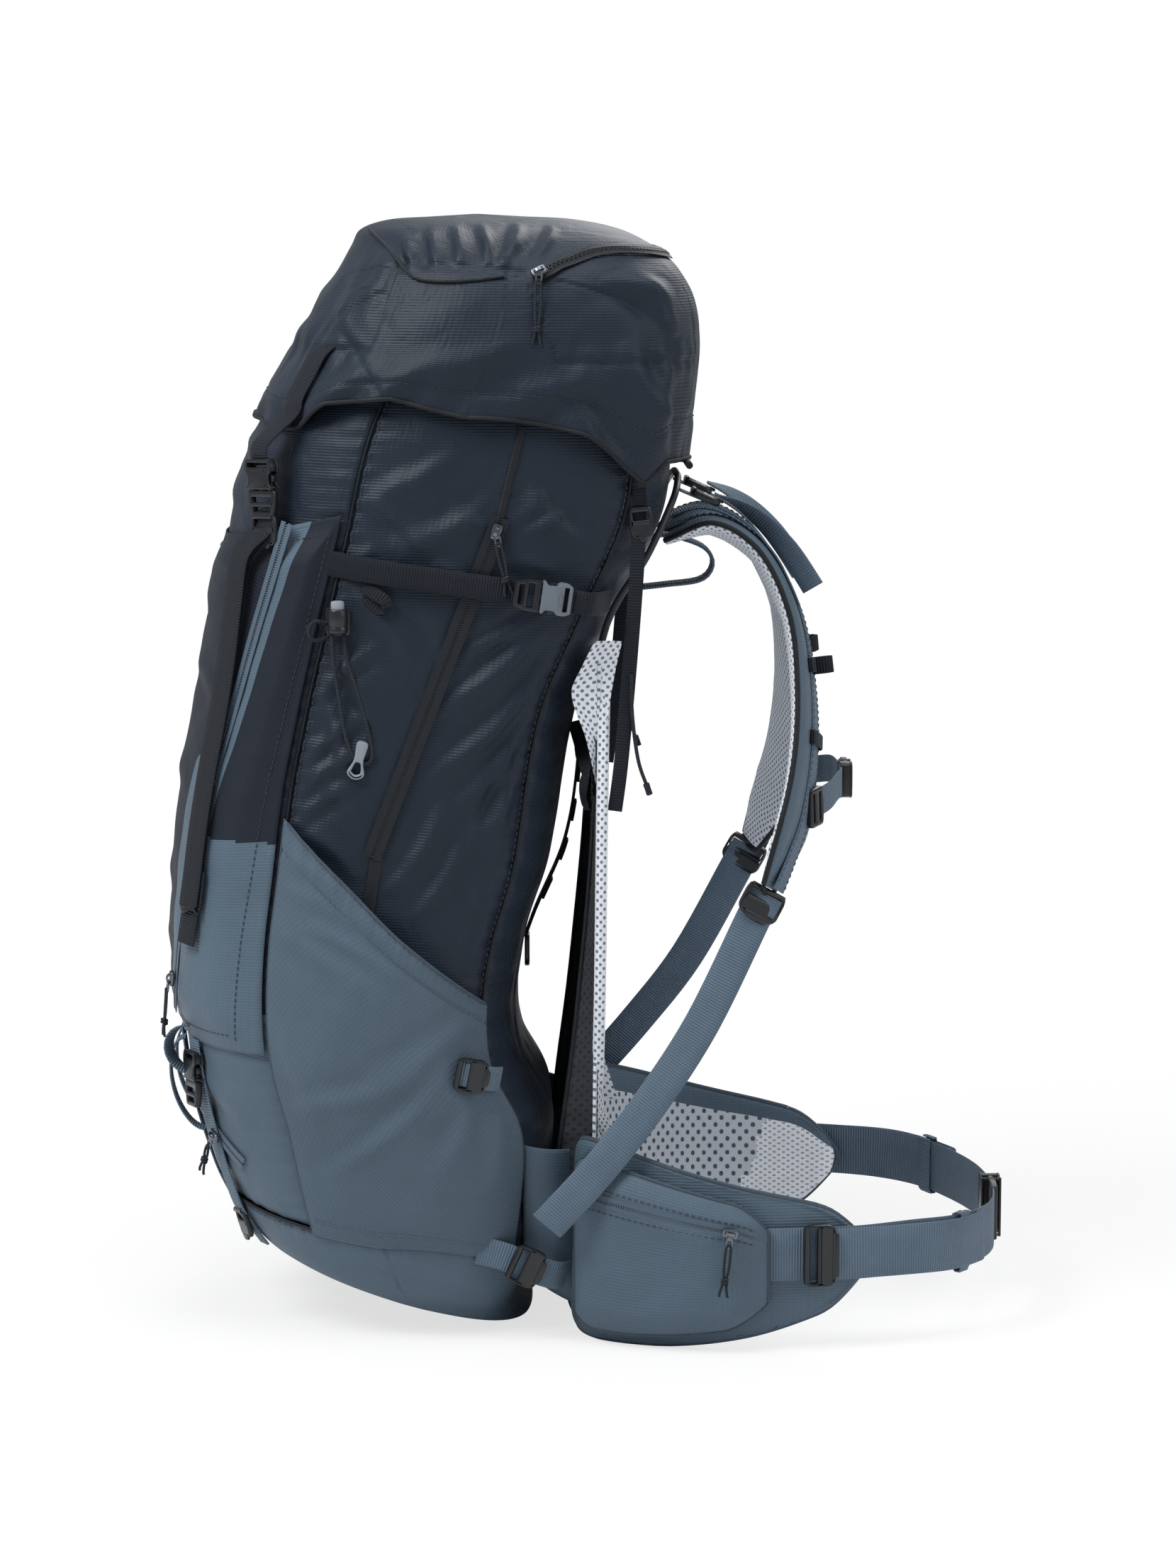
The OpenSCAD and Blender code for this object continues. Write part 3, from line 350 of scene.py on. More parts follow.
def threads(tree, place, spacing):
    """Height of threads that lie spacing millimetres apart: the cosine of the distance across."""
    turn = add(tree, "Math", {0: place, 1: 2 * math.pi / (spacing * MM)}, operation="MULTIPLY")
    return add(tree, "Math", {0: turn.outputs[0]}, operation="COSINE").outputs[0]


def cloth(name, colour, across, up, depth, rough, sheen, crease=0.5, diagonal=False, thread=0.10,
          clear=0.3):
    """Woven cloth: threads run both ways at their spacings (turned to the diagonal for a twill),
    the sum of the two heights is the bump and is also painted into the colour as shade in the gaps
    between the threads (thread is how deep that painted shade goes), slow noise varies the dye, and
    a wider noise gives the creases of a coated cloth."""
    m, t, s = begin(name)
    uv = add(t, "TexCoord").outputs["UV"]
    if diagonal:
        uv = add(t, "Mapping", {"Vector": uv, "Rotation": (0, 0, math.radians(38))}).outputs[0]
    parts = add(t, "SeparateXYZ", {0: uv})
    a, b = threads(t, parts.outputs[0], across), threads(t, parts.outputs[1], up)
    weave = add(t, "Math", {0: add(t, "Math", {0: a, 1: 0.45}, operation="MULTIPLY").outputs[0], 1: b},
                operation="ADD").outputs[0]
    here = add(t, "TexCoord").outputs["Object"]
    dye = add(t, "TexNoise", {"Vector": here, "Scale": 9.0, "Detail": 4.0}).outputs["Fac"]
    light = add(t, "MapRange", {0: dye, 1: 0.3, 2: 0.7, 3: 0.0, 4: 1.0}).outputs[0]
    base = add(t, "Mix", {0: light, 6: linear(colour, 0.9), 7: linear(colour, 1.1)}, data_type="RGBA").outputs[2]
    # Painted shade: the colour is darkened where the weave is low, in the gaps between the threads.
    shade = add(t, "MapRange", {0: weave, 1: -1.4, 2: 1.4, 3: 1 - thread, 4: 1.0}).outputs[0]
    base = add(t, "Mix", {0: 1.0, 6: base, 7: shade}, data_type="RGBA", blend_type="MULTIPLY").outputs[2]
    t.links.new(base, s.inputs["Base Color"])
    wide = add(t, "TexNoise", {"Vector": here, "Scale": 38.0, "Detail": 3.0, "Distortion": 0.6}).outputs["Fac"]
    soft = add(t, "Bump", {"Height": wide, "Strength": crease, "Distance": 0.0022}).outputs[0]
    bump = add(t, "Bump", {"Height": weave, "Strength": 0.6, "Distance": depth * MM, "Normal": soft}).outputs[0]
    t.links.new(bump, s.inputs["Normal"])
    s.inputs["Roughness"].default_value = rough
    s.inputs["Specular IOR Level"].default_value = clear
    s.inputs["Sheen Weight"].default_value = sheen
    s.inputs["Sheen Roughness"].default_value = 0.45
    return m


def webbing(name, colour, rib=2.0):
    """Woven strap: ribs across it, and a finer thread along it; their height is also painted into the colour, as
    shade in the grooves and light on the ridges.
    """
    m, t, s = begin(name)
    parts = add(t, "SeparateXYZ", {0: add(t, "TexCoord").outputs["UV"]})
    rows = threads(t, parts.outputs[1], rib)
    fine = threads(t, parts.outputs[0], rib * 0.8)
    height = add(t, "Math", {0: add(t, "Math", {0: fine, 1: 0.25}, operation="MULTIPLY").outputs[0], 1: rows},
                 operation="ADD").outputs[0]
    # Painted shade and light: the colour is darker in the grooves between the ribs and lighter on their tops.
    dark = add(t, "MapRange", {0: height, 1: -1.2, 2: 1.2, 3: 0.72, 4: 1.12}).outputs[0]
    dye = add(t, "TexNoise", {"Vector": add(t, "TexCoord").outputs["Object"], "Scale": 40.0,
                              "Detail": 2.0}).outputs["Fac"]
    base = add(t, "Mix", {0: dye, 6: linear(colour, 0.85), 7: linear(colour, 1.15)}, data_type="RGBA").outputs[2]
    base = add(t, "Mix", {0: 1.0, 6: base, 7: dark}, data_type="RGBA", blend_type="MULTIPLY").outputs[2]
    t.links.new(base, s.inputs["Base Color"])
    bump = add(t, "Bump", {"Height": height, "Strength": 0.7, "Distance": 0.0004}).outputs[0]
    t.links.new(bump, s.inputs["Normal"])
    s.inputs["Roughness"].default_value = 0.62
    s.inputs["Specular IOR Level"].default_value = 0.2
    s.inputs["Sheen Weight"].default_value = 0.05
    return m


def spacer(name, colour, hole_shade, across, up, size):
    """Knitted spacer mesh: staggered holes where the product of the two waves is high, sunk by the
    bump and painted dark as the shade inside them; size is how much of that product is hole."""
    m, t, s = begin(name)
    parts = add(t, "SeparateXYZ", {0: add(t, "TexCoord").outputs["UV"]})
    a, b = threads(t, parts.outputs[0], across), threads(t, parts.outputs[1], up)
    both_ways = add(t, "Math", {0: a, 1: b}, operation="MULTIPLY").outputs[0]
    hole = add(t, "MapRange", {0: both_ways, 1: size, 2: size + 0.3, 3: 0.0, 4: 1.0},
               interpolation_type="SMOOTHSTEP").outputs[0]
    # Painted shade: the holes take the dark second colour, which stands in for the shade inside them.
    base = add(t, "Mix", {0: hole, 6: linear(colour), 7: linear(hole_shade)}, data_type="RGBA").outputs[2]
    t.links.new(base, s.inputs["Base Color"])
    deep = add(t, "Math", {0: 1.0, 1: hole}, operation="SUBTRACT").outputs[0]
    bump = add(t, "Bump", {"Height": deep, "Strength": 0.8, "Distance": 0.0012}).outputs[0]
    t.links.new(bump, s.inputs["Normal"])
    s.inputs["Roughness"].default_value = 0.8
    s.inputs["Sheen Weight"].default_value = 0.1
    return m


def hard(name, colour, rough, metal=0.0, grain=900.0, depth=0.05):
    """Moulded or cast material: a fine grain from noise, on the height and on the roughness."""
    m, t, s = begin(name)
    here = add(t, "TexCoord").outputs["Object"]
    grit = add(t, "TexNoise", {"Vector": here, "Scale": grain, "Detail": 2.0}).outputs["Fac"]
    wear = add(t, "TexNoise", {"Vector": here, "Scale": 60.0, "Detail": 3.0}).outputs["Fac"]
    t.links.new(add(t, "Mix", {0: wear, 6: linear(colour, 0.9), 7: linear(colour, 1.12)},
                    data_type="RGBA").outputs[2], s.inputs["Base Color"])
    t.links.new(add(t, "MapRange", {0: wear, 1: 0.3, 2: 0.7, 3: rough - 0.06, 4: rough + 0.08}).outputs[0],
                s.inputs["Roughness"])
    t.links.new(add(t, "Bump", {"Height": grit, "Strength": 0.3, "Distance": depth * MM}).outputs[0],
                s.inputs["Normal"])
    s.inputs["Metallic"].default_value = metal
    return m


CHARCOAL, SLATE, BLACK = "#1d2632", "#4e5f6d", "#0b1016"
# Coated ripstop nylon, calendered: fine ribs, a low sheen and broad soft glints on its folds.
charcoal_ripstop = cloth("charcoal ripstop nylon, calendered", CHARCOAL, 3.4, 2.1, 0.11, 0.46, 0.02, crease=0.8,
                         clear=0.20)
slate_ripstop = cloth("slate ripstop nylon, calendered", SLATE, 3.4, 2.1, 0.13, 0.52, 0.04, crease=0.6, clear=0.24)
# Stretch twill: diagonal grain, matt, with a deeper painted shade in the gaps between its threads.
slate_twill = cloth("slate stretch twill, woven", SLATE, 2.6, 2.6, 0.26, 0.68, 0.08, crease=0.35, diagonal=True,
                    thread=0.22)
charcoal_stretch = cloth("charcoal stretch cloth, knitted", "#171e29", 2.0, 2.0, 0.14, 0.6, 0.04, crease=0.4,
                         diagonal=True, clear=0.2)
# Polyester binding: close ribs across a narrow tape.
black_binding = cloth("black polyester binding, woven", BLACK, 1.6, 1.6, 0.15, 0.6, 0.04, crease=0.1)
slate_binding = cloth("slate polyester binding, woven", "#3a4754", 1.6, 1.6, 0.15, 0.6, 0.05, crease=0.1)
# Straps are polyamide webbing with a rib every 2 mm.
slate_webbing = webbing("slate polyamide webbing, woven", "#5b6c7c")
black_webbing = webbing("black polyamide webbing, woven", "#10161f")
# Spacer mesh: a knit with oval holes, painted dark as the shade inside them.
white_mesh = spacer("pale grey spacer mesh, knitted", "#d6dae1", "#68717d", 5.0, 6.0, 0.30)
grey_mesh = spacer("grey spacer mesh, knitted", "#c3c9d2", "#4a5360", 7.0, 11.0, 0.38)
fine_mesh = spacer("pale fine mesh, knitted", "#eaedf2", "#a4acb8", 4.6, 4.6, 0.35)
dark_mesh = spacer("black air mesh, knitted", "#1c2128", "#07090b", 5.0, 7.0, 0.35)
# Zipper: a nylon coil on a ribbed tape.
zip_coil = hard("black nylon zipper coil, moulded", "#161a1f", 0.4)
charcoal_tape = cloth("charcoal zipper tape, woven", "#11161d", 1.6, 1.6, 0.12, 0.5, 0.04, crease=0.1)
slate_tape = cloth("slate zipper tape, woven", "#4c5c6b", 1.6, 1.6, 0.12, 0.5, 0.05, crease=0.1)
# Buckles are acetal with a satin face from a spark-eroded mould.
slate_coil = hard("slate nylon zipper coil, moulded", "#46545f", 0.42)
black_acetal = hard("black acetal, moulded", "#101318", 0.34)
grey_acetal = hard("grey acetal, moulded", "#5d656e", 0.42)
pale_acetal = hard("pale grey acetal, moulded", "#7d858e", 0.4)
gunmetal = hard("zinc alloy, die-cast and blackened", "#6c7178", 0.3, metal=1.0, grain=400.0)
spring_steel = hard("spring steel rod, powder coated", "#1f242b", 0.45, grain=500.0)
charcoal_cord = webbing("charcoal cord, braided", "#1f252d", rib=1.6)
# Sewing thread, a little paler than the cloth it holds.
dark_thread = hard("charcoal polyester thread, twisted", "#2a313a", 0.7)
slate_thread = hard("slate polyester thread, twisted", "#4a5866", 0.7)

# ---- The bag's surface ----

BAG_H, BAG_W, FRONT_D, REAR_D = 668, 304, 166, 186
WEB_T, STRAP_W, HARNESS_W, BELT_W = 1.6, 20, 25, 38
FRONT_SHAPE = [(0, 0.27), (0.03, 0.45), (0.065, 0.61), (0.11, 0.77), (0.16, 0.86), (0.23, 0.94),
               (0.32, 0.99), (0.4, 1), (0.49, 0.985), (0.58, 0.945), (0.66, 0.88), (0.76, 0.82), (0.84, 0.775),
               (0.9, 0.73), (0.95, 0.65), (1, 0.52)]
REAR_SHAPE = [(0, 0.36), (0.08, 0.48), (0.18, 0.55), (0.23, 0.54), (0.29, 0.43), (0.35, 0.41),
              (0.42, 0.45), (0.5, 0.54), (0.66, 0.64), (0.76, 0.8), (0.86, 0.97), (0.92, 1), (1, 0.96)]
WIDTH_SHAPE = [(0, 0.7), (0.04, 0.86), (0.1, 0.95), (0.2, 0.99), (0.35, 1), (0.55, 0.97),
               (0.8, 0.96), (0.94, 0.95), (1, 0.9)]
FRONT_POWER, REAR_POWER = 2.3, 4
SEAM_FRONT, SEAM_REAR = 0.426, 0.80      # side panel's two seams, as shares of the bag's half depth
SEAM_FRONT_X, SEAM_REAR_X = 0.936, 0.875  # the same seams, as shares of its half width


def front_y(z):
    return -FRONT_D * curve(FRONT_SHAPE, z / BAG_H)


def rear_y(z):
    return REAR_D * curve(REAR_SHAPE, z / BAG_H)


def half_w(z):
    return BAG_W / 2 * curve(WIDTH_SHAPE, z / BAG_H)


def mid_y(z):
    return (front_y(z) + rear_y(z)) / 2


def half_d(z):
    return (rear_y(z) - front_y(z)) / 2


def root(v, n):
    """(1 - |v|^n)^(1/n): the other coordinate on a superellipse of that power."""
    return (1 - np.minimum(1, np.abs(v))**n)**(1 / n)


def on_front(x, z, off=0):
    """Point of the bag's front half at x and a height, off mm outside it."""
    x, z, off = np.broadcast_arrays(np.asarray(x, float), z, off)
    return np.stack([x, mid_y(z) - (half_d(z) + off) * root(x / (half_w(z) + off), FRONT_POWER), z], -1)


def on_back(x, z, off=0):
    """Point of the bag's rear half at x and a height, off mm outside it."""
    x, z, off = np.broadcast_arrays(np.asarray(x, float), z, off)
    return np.stack([x, mid_y(z) + (half_d(z) + off) * root(x / (half_w(z) + off), REAR_POWER), z], -1)


def on_side(y, z, off=0):
    """Point of the bag's right side at y and a height, off mm outside it."""
    y, z, off = np.broadcast_arrays(np.asarray(y, float), z, off)
    q = (y - mid_y(z)) / (half_d(z) + off)
    return np.stack([(half_w(z) + off) * np.where(q < 0, root(q, FRONT_POWER), root(q, REAR_POWER)), y, z], -1)


def around(turn, z, off=0):
    """Point in the direction of turn degrees round the bag's middle at that height: the distance
    is where the superellipse |x/a|^n + |y/b|^n = 1 lies in that direction."""
    c, s = np.cos(np.radians(turn)), np.sin(np.radians(turn))
    n = np.where(s < 0, FRONT_POWER, REAR_POWER)
    r = ((np.abs(c) / (half_w(z) + off))**n + (np.abs(s) / (half_d(z) + off))**n)**(-1 / n)
    return np.stack(np.broadcast_arrays(r * c, mid_y(z) + r * s, z), -1)


def base_seam(y):
    """Height of the base panel's seam: 72 - 22 sin(angle), with the angle that y has on the bag."""
    q = np.clip((y - mid_y(70)) / half_d(70), -1, 1)
    return 72 - 22 * np.sign(q) * np.abs(q)**(np.where(q < 0, FRONT_POWER, REAR_POWER) / 2)


def folds(y, z, rows):
    """Height of drape folds at (y, z). Each row is a line from one point to another with a width
    and a height: a ridge height * exp(-(distance / width)^2) less a shallower valley beside it,
    fading out to both ends."""
    total = np.zeros(np.broadcast(y, z).shape)
    for y0, z0, y1, z1, w, h in rows:
        dy, dz = y1 - y0, z1 - z0
        length = math.hypot(dy, dz)
        t = np.clip(((y - y0) * dy + (z - z0) * dz) / length**2, 0, 1)
        r = ((y - y0) * dz - (z - z0) * dy) / length + 0.12 * length * np.sin(np.pi * t) * 0.5
        total += h * np.sin(np.pi * t)**0.7 * (np.exp(-(r / w)**2) - 0.55 * np.exp(-((r - 1.6 * w) / w)**2))
    return total


def slack(y, z, high, seed, size=60):
    """Soft unevenness of a filled cloth: the sum of six sines in seeded directions, from one and
    a half sizes down to a third of one."""
    rng = np.random.default_rng(seed)
    total = np.zeros(np.broadcast(y, z).shape)
    for k in range(6):
        turn, wave, start = rng.uniform(0, np.pi), size * (1.5 - 0.22 * k), rng.uniform(0, 6.28)
        total += np.sin((y * np.cos(turn) + z * np.sin(turn)) * 2 * np.pi / wave + start) / (1 + 0.5 * k)
    return high * total / 3


GATHER = 11     # mm from one gather of a seam to the next


def puckers(along, gap, high, seed):
    """Seam pull: a valley one height deep at the seam with short gathers along it, both fading
    with the distance from it."""
    rng = np.random.default_rng(seed)
    wave = along * 2 * np.pi
    beat = np.sin(wave / GATHER + rng.uniform(0, 6)) + 0.6 * np.sin(wave / (GATHER * 1.7) + rng.uniform(0, 6))
    return -high * np.exp(-(gap / 3.5)**2) + 0.35 * high * beat * np.exp(-(gap / 13)**2)


def stitches(path, out, pitch=4.6, length=3.0, r=0.42):
    """Row of sewn stitches along a path: each a short thread with a raised middle, six points
    round, repeated at the pitch."""
    path = np.asarray(path, float)
    s = lengths(path)
    at = np.arange(pitch / 2, s[-1] - pitch / 2, pitch)
    pick = lambda a: np.stack([np.interp(at, s, a[:, k]) for k in range(3)], -1)
    mid, x = pick(path), unit(pick(unit(np.gradient(path, axis=0))))
    z = unit(pick(np.broadcast_to(np.asarray(out, float), path.shape)))
    y = unit(np.cross(z, x))
    z = np.cross(x, y)
    a = np.arange(5) * 2 * np.pi / 5
    ring = np.stack([np.zeros(5), np.cos(a), np.sin(a)], -1)
    unit_shape = np.vstack([ring * r * 0.5 + (-length / 2, 0, 0.0), ring * r + (0, 0, r * 0.6),
                            ring * r * 0.5 + (length / 2, 0, 0.0)])
    p = (mid[:, None] + unit_shape[None, :, :1] * x[:, None] + unit_shape[None, :, 1:2] * y[:, None]
         + unit_shape[None, :, 2:] * z[:, None])
    quad = np.vstack([np.array([(i, 5 + i, 5 + (i + 1) % 5, (i + 1) % 5) for i in range(5)]) + 5 * k
                      for k in range(2)])[:, ::-1]
    base = 15 * np.arange(len(at))[:, None, None]
    ends = np.array([[4, 3, 2, 1, 0], [10, 11, 12, 13, 14]])[:, ::-1]
    p = p.reshape(-1, 3)
    return p, [(quad[None] + base).reshape(-1, 4), (ends[None] + base).reshape(-1, 5)], p[:, :2] * MM


def outward(f):
    """Outward direction of the surface f(off) at each point: its point at off 1 less that at 0."""
    return unit(f(1.0) - f(0))


def strap(points, side, width=STRAP_W, t=WEB_T):
    """Webbing along a route through the points; its side may be one direction or a list of them
    spread over the route."""
    path = even(route(points), 4.0)
    if np.ndim(side) == 2:
        s = np.linspace(0, 1, len(side))
        side = np.stack([np.interp(np.linspace(0, 1, len(path)), s, np.asarray(side)[:, k]) for k in range(3)], -1)
    return swept(path, side, flat_section(width, t))


NO_SIDE = (0.31, 0.17, 0.93)     # a direction that no cord runs along


def cord_tube(points, r, steps=6, step=2.0):
    """Round cord along a route through the points."""
    return swept(even(route(points, steps), step), NO_SIDE, round_section(r))


# ---- Bag body ----

SIDE_FOLDS = [  # drawn from the compression buckle, the pocket's corner and the lid's pull
    (100, 508, -4, 436, 6, 3.6), (104, 486, 14, 398, 6, 3.4), (96, 462, 30, 372, 6, 2.8),
    (92, 438, 40, 344, 5, 2.4), (108, 524, 30, 484, 5, 2.8), (-38, 530, 8, 478, 6, 2.6),
    (-58, 500, -20, 430, 6, 2.8), (-62, 454, -14, 492, 5, 2.6), (-66, 470, -40, 400, 6, 2.4),
    (-76, 404, -24, 446, 5, 2.8), (-80, 386, -16, 424, 5, 2.4), (-84, 362, -34, 396, 5, 2.0),
    (64, 590, -10, 558, 8, 3.2), (40, 624, -38, 590, 8, 3.2), (96, 596, 50, 566, 6, 2.8),
    (84, 556, 30, 590, 6, 2.6), (-40, 600, 20, 552, 6, 2.6), (120, 560, 84, 600, 6, 2.6),
    (110, 585, 78, 566, 5, 2.4), (18, 548, 60, 520, 5, 2.4), (-86, 372, -30, 330, 7, 2.4),
    (-78, 420, -20, 350, 8, 2.2), (30, 390, -14, 318, 6, 2.6), (46, 372, 4, 300, 5, 2.4),
    (70, 420, 52, 330, 6, 2.6), (88, 372, 64, 280, 6, 2.4), (60, 330, 40, 262, 5, 2.0),
    (10, 520, 40, 468, 6, 2.0), (60, 550, 104, 540, 5, 2.0), (-20, 560, -50, 540, 5, 1.8),
    (-56, 566, -30, 606, 6, 2.4)]


def side_wall(u, v, off=0.0):
    """Side panel between its two seams (u) from the base seam to the rim (v)."""
    q = mix(-SEAM_FRONT + 0.004, SEAM_REAR - 0.003, u)
    z0 = 66.0
    y0 = mid_y(z0) + half_d(z0) * q
    z = mix(base_seam(y0) + 0.5, BAG_H, v)
    a, b = half_w(z) + off, half_d(z) + off
    return np.stack([a * np.where(q < 0, root(q, FRONT_POWER), root(q, REAR_POWER)), mid_y(z) + b * q, z], -1)


u, v = spread(110, 210)
p = side_wall(u, v)
y, z = p[..., 1], p[..., 2]
deep = half_d(z) * (SEAM_FRONT + SEAM_REAR)
fade = np.clip(np.minimum(u, 1 - u) * 9, 0, 1)
zip_gap = np.abs(y - mix(-24, 66, (z - 345) / 234)) * 0.93
by_zip = np.where((z > 335) & (z < 592), np.clip((zip_gap - 5) / 14, 0, 1), 1)
side_drape = (folds(y, z, SIDE_FOLDS) * 1.15 + slack(y, z, 1.5, 3)) * fade * by_zip \
    + puckers(z, u * deep, 1.6, 5) + puckers(z + 7, (1 - u) * deep, 1.6, 6) + puckers(y, v * 590, 1.0, 8) - 0.3
side_cloth = sheet_of(side_wall(u, v, side_drape))
for name, shape in (("right", side_cloth), ("left", mirrored(side_cloth))):
    piece("side_fabric_" + name, "bag", shape, charcoal_ripstop, ["side_panel_" + name], wall=1.2)


def front_wall(u, v, off=0.0):
    """Front panel between the side seams (u) from the base seam to the rim (v)."""
    s = mix(-SEAM_FRONT_X, SEAM_FRONT_X, u)
    z0 = 80.0
    y0 = mid_y(z0) - half_d(z0) * root(s, FRONT_POWER)
    z = mix(base_seam(y0) + 0.5, BAG_H, v)
    a, b = half_w(z) + off, half_d(z) + off
    return np.stack([a * s, mid_y(z) - b * root(s, FRONT_POWER), z], -1)


u, v = spread(150, 190)
p = front_wall(u, v)
x, z = p[..., 0], p[..., 2]
level = [(-120, 600, 10, 596, 6, 2.0), (-30, 622, 118, 612, 6, 2.2), (-110, 578, 60, 584, 6, 1.8),
         (10, 640, 120, 636, 7, 2.0), (-124, 636, -10, 644, 7, 2.0), (60, 188, 124, 150, 8, 2.4),
         (-60, 188, -124, 150, 8, 2.4), (40, 130, 110, 104, 7, 1.8), (-40, 130, -110, 104, 7, 1.8)]
drape = (folds(x, z, level) + slack(x, z, 1.2, 11)) * np.clip(np.minimum(u, 1 - u) * 12, 0, 1) \
    + puckers(z, np.minimum(u, 1 - u) * 290, 1.5, 12) + puckers(x, v * 590, 1.0, 13) - 0.3
front_points = front_wall(u, v, drape)
# The lower compartment is slate, the upper front charcoal
face_z = front_points[:-1, :-1, 2].ravel()
piece("front_fabric", "bag", sheet_of(front_points), [charcoal_ripstop, slate_ripstop], ["front_panel"],
      wall=1.2, marks=(face_z < 232).astype(np.int32))


def back_wall(u, v, off=0.0):
    """Back panel from the right seam (u = 0) round the back to the left one."""
    s = mix(SEAM_REAR_X, -SEAM_REAR_X, u)
    z = mix(52.0, BAG_H, v)
    a, b = half_w(z) + off, half_d(z) + off
    return np.stack([a * s, mid_y(z) + b * root(s, REAR_POWER), z], -1)


u, v = spread(120, 180)
p = back_wall(u, v)
x, z = p[..., 0], p[..., 2]
ribs = 0.9 * np.cos(z * 2 * np.pi / 26) * np.clip((np.abs(x) - 84) / 14, 0, 1)
middle = np.sin(np.pi * np.clip((z - 140) / 400, 0, 1))
foam = 1.4 * np.clip(1 - (np.abs(x) / 62)**6, 0, 1) * np.clip(middle * 3, 0, 1)
drape = slack(x, z, 0.9, 21) + ribs + foam + puckers(z, np.minimum(u, 1 - u) * 290, 1.4, 22) - 1.4
back_points = back_wall(u, v, drape)
piece("back_fabric", "bag", sheet_of(back_points), charcoal_ripstop, ["back_panel"], wall=4.0)

PATCH_W, PATCH_D, PATCH_Y = 200, 112, 10


def bowl(u, v, off=0.0):
    """Base bowl in the direction u (a share of the turn) from the patch to the base seam (v):
    the wall's outline, drawn in to the patch's as (1 - v)^8."""
    turn = 360 * u
    c, s = np.cos(np.radians(turn)), np.sin(np.radians(turn))
    wall70 = around(turn, 66.0)
    top = base_seam(wall70[..., 1]) - 0.5
    r = ((np.abs(c) / (PATCH_W / 2 + 8))**3 + (np.abs(s) / (PATCH_D / 2 + 8))**3)**(-1 / 3)
    z = mix(0.5 + 34 * np.clip((70 - PATCH_Y - r * s) / 126, 0, 1), top, v)
    wall = around(turn, z, off)
    f = (1 - v)**8
    return np.stack([mix(wall[..., 0], r * c * 1.1, f),
                     mix(wall[..., 1], PATCH_Y + r * s * np.where(s > 0, 1.2, 1), f), z], -1)


u, v = spread(280, 44, wrap=True)
p = bowl(u, v)
turn = 360 * u
arc = turn * 2.5
drape = (slack(arc, p[..., 2], 1.1, 31, 90) * np.sin(np.pi * np.clip(v, 0, 1))
         + puckers(arc, (1 - v) * 62, 1.3, 32)) * np.clip(v * 3, 0, 1)
drape += folds(p[..., 1], p[..., 2], [(-60, 62, 60, 34, 6, 1.6), (-40, 34, 70, 16, 5, 1.3)]) * (v > 0.1)
base_points = bowl(u, v, drape)
piece("base_fabric", "bag", sheet_of(base_points, True, caps=(0,)), slate_ripstop, ["base_panel", "base_patch"],
      smooth=60)

# Seam piping between the panels, and rows of stitches beside it
height = np.linspace(0.004, 0.985, 120)
ones = np.ones_like(height)
pipes = joined(*[swept(even(side_wall(k * ones, height, -0.3), 5), (0.3, 1, 0.05), round_section(0.9))
                 for k in (0, 1)])
ring = np.arange(281) / 280
base_ring = bowl(ring, ring * 0 + 1, 0.2)
piece("seam_piping", "bag", joined(both(pipes), swept(even(base_ring, 6), (0, 0, 1), round_section(1.1), caps=False)),
      black_binding)
rows = [stitches(side_wall(k * ones, height, 0.25), outward(lambda o: side_wall(k * ones, height, o)))
        for k in (0.02, 0.985)]
piece("side_stitching", "bag", both(joined(*rows)), dark_thread)
near = bowl(ring, ring * 0 + 0.93, 0.1)
piece("base_stitching", "bag", stitches(near, outward(lambda o: bowl(ring, ring * 0 + 0.93, o)), 5.2, 3.6, 0.5),
      slate_thread)

# Floor between the compartments, then the snow collar with its drawcord
FLOOR_Z, LINING = 250.0, 6.2     # the lining's distance inside the cloth
turn = np.arange(90) * 4.0
rim = around(turn, FLOOR_Z, -LINING)
floor_rings = np.stack([np.column_stack([rim[:, :2] * k, np.full(90, FLOOR_Z + 1.5 * (1 - k))])
                        for k in (1, 0.8, 0.5, 0.2)])
piece("divider_fabric", "bag", sheet_of(floor_rings, True, caps=(-1,)), slate_ripstop, ["compartment_floor"],
      wall=1.4)
MOUTH_R, MOUTH_Y, RISE = 76, 38, 36
MOUTH_Z = BAG_H + RISE * 0.6
u, v = spread(288, 34, wrap=True)
f = np.where(v < 0.4, 0, ((np.maximum(v, 0.4) - 0.4) / 0.6)**1.3)
z = np.where(v < 0.4, mix(BAG_H - RISE, BAG_H - 8, v / 0.4),
             mix(BAG_H - 8, MOUTH_Z, np.sin(np.pi / 2 * np.clip((v - 0.4) / 0.6, 0, 1))))
pleat = 2.6 * f * (np.cos(u * 2 * np.pi * 36) + 0.5 * np.cos(u * 2 * np.pi * 23 + 1))
wall = around(360 * u, np.minimum(z, BAG_H), -LINING)
c, s = np.cos(2 * np.pi * u), np.sin(2 * np.pi * u)
throat = np.stack([(MOUTH_R - 2) * c, MOUTH_Y + (MOUTH_R - 2) * s], -1)
collar = np.stack([mix(wall[..., 0], throat[..., 0], f) + 0.4 * pleat * c,
                   mix(wall[..., 1], throat[..., 1], f) + 0.4 * pleat * s, z + 0.7 * pleat], -1)
piece("snow_collar_fabric", "bag", sheet_of(collar, True), slate_ripstop, ["snow_collar"],
      wall=0.8)
a = np.linspace(0, 2 * np.pi, 121)
cord_z = MOUTH_Z + 3.6
mouth_ring = np.column_stack([MOUTH_R * np.cos(a), MOUTH_Y + MOUTH_R * np.sin(a), np.full(121, cord_z)])
piece("collar_cord", "bag", swept(mouth_ring, (0, 0, 1), round_section(2, 12), caps=False), charcoal_cord,
      ["collar_drawcord"])

# ---- Front pocket: dark middle between two slate strips ----

POCKET_D, POCKET_T, POCKET_FOOT, POCKET_TOP = 6, 2, 205, 561


def front_zip_x(z):
    return curve([(205, 56), (300, 84), (400, 106), (510, 119), (588, 126)], z)


def pocket_centre(z):
    """Half width of the pocket's dark middle: up to the zippers above, and a wedge below them."""
    return front_zip_x(z) - curve([(205, 12), (300, 26), (404, 30), (418, 5), (561, 5)], z)


